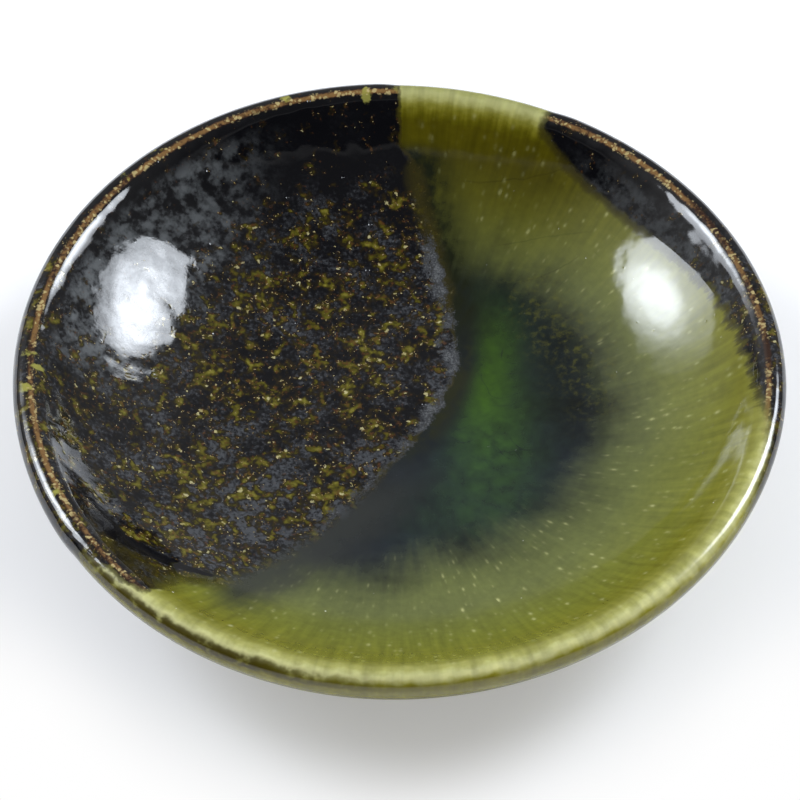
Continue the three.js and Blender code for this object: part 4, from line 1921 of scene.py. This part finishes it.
@dataclass(frozen=True)
class GreenPool(GlazedPiece):
    """The glass run together in the well, beside the left pour."""

    columns: int = 170
    rows: int = 44
    end_inset: float = 0.02
    bank_inset: float = 0.3 * MM

    def build(self) -> bpy.types.Object:
        """Fits a grid to the pool: straight lines, seen from above, from the left pour's edge to its shore.

        Returns:
            The piece.
        """
        ware = self.ware
        shore_radius = ware.depths.glass_radius
        front, back = ware.left.sides(np.array(shore_radius))
        turn = np.linspace(front - TURN + self.end_inset, back - self.end_inset, self.columns)
        shore = shore_radius * facing(turn)
        line = ware.left.inner()
        within = np.linalg.norm(line, axis=1) < shore_radius - self.bank_inset
        bank = evenly(line[within], self.columns)
        w = np.linspace(0.0, 1.0, self.rows)[:, None, None]
        plan = (1.0 - w) * bank + w * shore
        radius = np.linalg.norm(plan, axis=-1)
        angle = np.arctan2(plan[..., 1], plan[..., 0])
        arc = ware.section.arc_inside(radius)
        coat = ware.depths.coat_at(arc, ware.crest, ware.coat_end(angle)) + ware.depths.bond
        high = coat + ware.depths.glass_at(radius) + ware.depths.feather
        fade = smoothstep(shore_radius - ware.depths.shore_fade, shore_radius, radius)
        sunk = ware.depths.sunk * fade
        return self.sheet_of(arc, angle, coat - sunk, high - sunk)


@dataclass(frozen=True)
class Softbox:
    """A soft lamp of plain white light, aimed at a place on the dish and brightest in its middle."""

    name: str
    azimuth: float
    elevation: float
    width: float
    height: float
    radiance: float
    aim: tuple[float, float, float]
    distance: float = 0.6
    veil: float = 0.3
    core: tuple[float, float] = (0.0, 0.1)
    core_reach: tuple[float, float] = (0.66, 0.2)
    skirt: float = 0.12
    fade: tuple[float, float] = (-1.25, -0.15)
    tint: Colour = (0.93, 0.99, 1.07)
    corner_power: float = 2.3
    rim_fade: tuple[float, float] = (1.0, 0.86)
    low_share: float = 0.5
    low_fade: tuple[float, float] = (-1.0, 0.3)

    def away(self) -> tuple[float, float, float]:
        """Direction from the dish to the lamp."""
        az, el = math.radians(self.azimuth), math.radians(self.elevation)
        return (math.sin(az) * math.cos(el), math.cos(az) * math.cos(el), math.sin(el))

    def build(self) -> bpy.types.Object:
        """Adds the lamp, whose power is its radiance times pi times its area.

        Its core is brightest. Round it the veil, a share of that, ends crisply above and fades below and
        towards one side.

        Returns:
            The lamp.
        """
        lamp = bpy.data.lights.new(self.name, "AREA")
        lamp.shape = "RECTANGLE"
        lamp.size = self.width
        lamp.size_y = self.height
        lamp.energy = self.radiance * math.pi * self.width * self.height
        lamp.use_nodes = True
        sheet = Sheet(lamp.node_tree)
        spot = sheet.node("ShaderNodeNewGeometry").outputs["Parametric"]
        parts = sheet.node("ShaderNodeSeparateXYZ", {}, {0: spot}).outputs
        across, up = Field(sheet, parts[0]) * 2.0 - 1.0, Field(sheet, parts[1]) * 2.0 - 1.0
        power = self.corner_power
        round_off = (across.size() ** power + up.size() ** power) ** (1.0 / power)
        forward = across * (1.0 if self.azimuth < 0.0 else -1.0)
        height = self.low_share + (1.0 - self.low_share) * up.rise(*self.low_fade)
        whole = round_off.rise(*self.rim_fade) * height * forward.rise(*self.fade)
        x, y = across - self.core[0], up - self.core[1]
        core = ((x * x + y * y) ** 0.5).rise(*self.core_reach)
        glow = whole * (self.veil + (1.0 - self.veil) * core)
        light = sheet.node("ShaderNodeEmission", {}, {"Color": self.tint, "Strength": glow})
        sheet.node("ShaderNodeOutputLight", {}, {"Surface": light.outputs[0]})
        thing = bpy.data.objects.new(self.name, lamp)
        thing.location = [at + self.distance * part for at, part in zip(self.aim, self.away())]
        thing.rotation_euler = (math.radians(90.0 - self.elevation), 0.0, math.radians(180.0 - self.azimuth))
        thing.visible_camera = False
        bpy.context.scene.collection.objects.link(thing)
        return thing


@dataclass(frozen=True)
class Studio:
    """A white table, two softboxes, a pale wall behind and a camera at the photograph's angle."""

    elevation: float = 51.99
    distance: float = 0.4
    focal_pixels: float = 3173.0
    target: tuple[float, float, float] = (0.28 * MM, -0.24 * MM, 13.95 * MM)
    table_radius: float = 2.5
    table_colour: Colour = (0.85, 0.85, 0.865)
    table_lift: float = 0.27
    table_sides: int = 96
    table_fade: tuple[float, float] = (0.045, 0.3)
    near_fade: tuple[float, float] = (0.041, 0.059)
    near_front: tuple[float, float] = (-0.011, -0.038)
    panel_front: float = 55.0
    fill: float = 0.56
    front_level: float = 0.012
    ceiling_level: float = 0.055
    wall_level: float = 0.19
    edge_level: float = 0.12
    horizon_level: float = 0.7
    skirt_reach: tuple[float, float] = (0.78, 0.97)
    ceiling_edge: tuple[float, float] = (-0.01, 0.02)
    line_edge: tuple[float, float] = (0.09, 0.03)
    wall_rise: tuple[float, float] = (0.1, 1.0)
    horizon_top: tuple[float, float] = (0.09, -0.02)
    horizon_side: tuple[float, float] = (0.72, 0.88)
    softboxes: tuple[Softbox, ...] = (
        Softbox(
            "lamp_right",
            azimuth=67.8,
            elevation=39.0,
            width=0.325,
            height=0.31,
            radiance=22.5,
            aim=(-33.0 * MM, 15.0 * MM, 15.0 * MM),
            veil=0.40,
            core=(0.05, 0.0),
            core_reach=(0.9, 0.15),
            fade=(-1.4, -0.45),
        ),
        Softbox(
            "lamp_left",
            azimuth=-70.5,
            elevation=35.5,
            width=0.38,
            height=0.35,
            radiance=21.3,
            aim=(34.0 * MM, 14.0 * MM, 15.0 * MM),
            veil=0.42,
            core=(-0.05, 0.3),
            skirt=0.4,
            fade=(-1.05, 0.3),
        ),
    )

    def build(self) -> None:
        """Makes the table, the lamps, the surroundings and the camera."""
        scene = bpy.context.scene
        scene.view_settings.view_transform = "Standard"
        self.table()
        for softbox in self.softboxes:
            softbox.build()
        self.surroundings()
        scene.camera = self.camera()

    def camera(self) -> bpy.types.Object:
        """The camera, aimed from its elevation over the front of the dish.

        Returns:
            The camera.
        """
        lens = bpy.data.cameras.new("camera")
        lens.sensor_width = SENSOR_WIDTH
        lens.lens = SENSOR_WIDTH * self.focal_pixels / PICTURE_SIDE
        lens.clip_start = 0.01
        camera = bpy.data.objects.new("camera", lens)
        el = math.radians(self.elevation)
        away = (0.0, -math.cos(el), math.sin(el))
        camera.location = [at + self.distance * part for at, part in zip(self.target, away)]
        camera.rotation_euler = (math.pi / 2.0 - el, 0.0, 0.0)
        bpy.context.scene.collection.objects.link(camera)
        return camera

    def table(self) -> bpy.types.Object:
        """A round white table, lit by the lamps near the dish and plain white further away.

        Returns:
            The table.
        """
        angle = np.linspace(0.0, TURN, self.table_sides, endpoint=False)
        ring = self.table_radius * np.stack([np.cos(angle), np.sin(angle), 0.0 * angle], axis=-1)
        mesh = bpy.data.meshes.new("table")
        mesh.from_pydata(ring.tolist(), [], [list(range(len(ring)))])
        table = bpy.data.objects.new("table", mesh)
        bpy.context.scene.collection.objects.link(table)
        material = bpy.data.materials.new("white_table")
        material.use_nodes = True
        sheet = Sheet(material.node_tree)
        place = sheet.node("ShaderNodeTexCoord").outputs["Object"]
        length = sheet.node("ShaderNodeVectorMath", {"operation": "LENGTH"}, {0: place})
        reach = Field(sheet, length.outputs["Value"])
        y = Field(sheet, sheet.node("ShaderNodeSeparateXYZ", {}, {0: place}).outputs[1])
        near = reach.rise(*self.near_fade) * y.rise(*self.near_front)
        far = reach.rise(*self.table_fade).above(near)
        path = sheet.node("ShaderNodeLightPath").outputs
        seen = Field(sheet, path["Is Camera Ray"])
        paper = sheet.node("ShaderNodeBsdfDiffuse", {}, {"Color": self.table_colour})
        white = sheet.node("ShaderNodeEmission", {}, {"Strength": 1.0})
        share = (self.table_lift + (1.0 - self.table_lift) * far) * seen
        both = sheet.node("ShaderNodeMixShader", {}, {0: share, 1: paper.outputs[0], 2: white.outputs[0]})
        sheet.node("ShaderNodeOutputMaterial", {}, {"Surface": both.outputs[0]})
        mesh.materials.append(material)
        return table

    def surroundings(self) -> None:
        """The room: white to the camera; to the dish, a pale wall behind, a dim ceiling and a dark front.

        The ceiling ends in front at the panel's elevation, along a straight edge with a thin bright line.
        Round each softbox lies a soft skirt of light, and low behind the dish the white ground goes on.
        """
        world = bpy.data.worlds.new("room")
        bpy.context.scene.world = world
        world.use_nodes = True
        sheet = Sheet(world.node_tree)
        towards = sheet.node("ShaderNodeTexCoord").outputs["Generated"]
        parts = sheet.node("ShaderNodeSeparateXYZ", {}, {0: towards}).outputs
        y, z = Field(sheet, parts[1]), Field(sheet, parts[2])
        tilt = math.radians(self.panel_front)
        over = y * math.sin(tilt) + z * math.cos(tilt)
        ceiling = over.rise(*self.ceiling_edge)
        line = ceiling * over.rise(*self.line_edge)
        behind = y.rise(*self.wall_rise)
        horizon = self.horizon_level * z.rise(*self.horizon_top) * y.rise(*self.horizon_side)
        level = ceiling * (self.ceiling_level + self.wall_level * behind)
        level = self.front_level + level + self.edge_level * line
        for softbox in self.softboxes:
            inputs = {0: towards, 1: softbox.away()}
            turned = sheet.node("ShaderNodeVectorMath", {"operation": "DOT_PRODUCT"}, inputs)
            nearness = Field(sheet, turned.outputs["Value"]).rise(*self.skirt_reach)
            level = level + softbox.skirt * nearness
        level = level + (1.0 - level) * horizon
        path = sheet.node("ShaderNodeLightPath").outputs
        gloss, seen = Field(sheet, path["Is Glossy Ray"]), Field(sheet, path["Is Camera Ray"])
        strength = self.fill + (level - self.fill) * gloss
        strength = strength + (1.0 - strength) * seen
        light = sheet.node("ShaderNodeBackground", {}, {"Color": (1.0, 1.0, 1.0), "Strength": strength})
        sheet.node("ShaderNodeOutputWorld", {}, {"Surface": light.outputs[0]})


def main() -> None:
    """Builds the dish from the clay outwards, then the studio."""
    logging.basicConfig(level=logging.INFO, format="%(name)s: %(message)s")
    ware, glazes = Ware.thrown(), RunGlazes()
    clay = ClayBody(ware)
    piece = clay.build()
    clay.dress(piece)
    log.info("%s: %d faces", piece.name, len(piece.data.polygons))
    layers = [
        OliveCoat(ware, "olive_coat", "olive_glaze_coat", Slot.OLIVE),
        BlackPour(ware, "left_pour", "black_glaze_pour_left", Slot.BLACK, ware.left),
        BlackPour(
            ware,
            "right_pour",
            "black_glaze_pour_right",
            Slot.BLACK,
            ware.right,
            columns=140,
            well_rows=24,
        ),
        GreenPool(ware, "green_pool", "green_glaze_pool", Slot.GREEN),
    ]
    for layer in layers:
        piece = layer.build()
        layer.dress(piece, glazes)
        log.info("%s: %d faces", piece.name, len(piece.data.polygons))
    Studio().build()


if __name__ == "__main__":
    main()
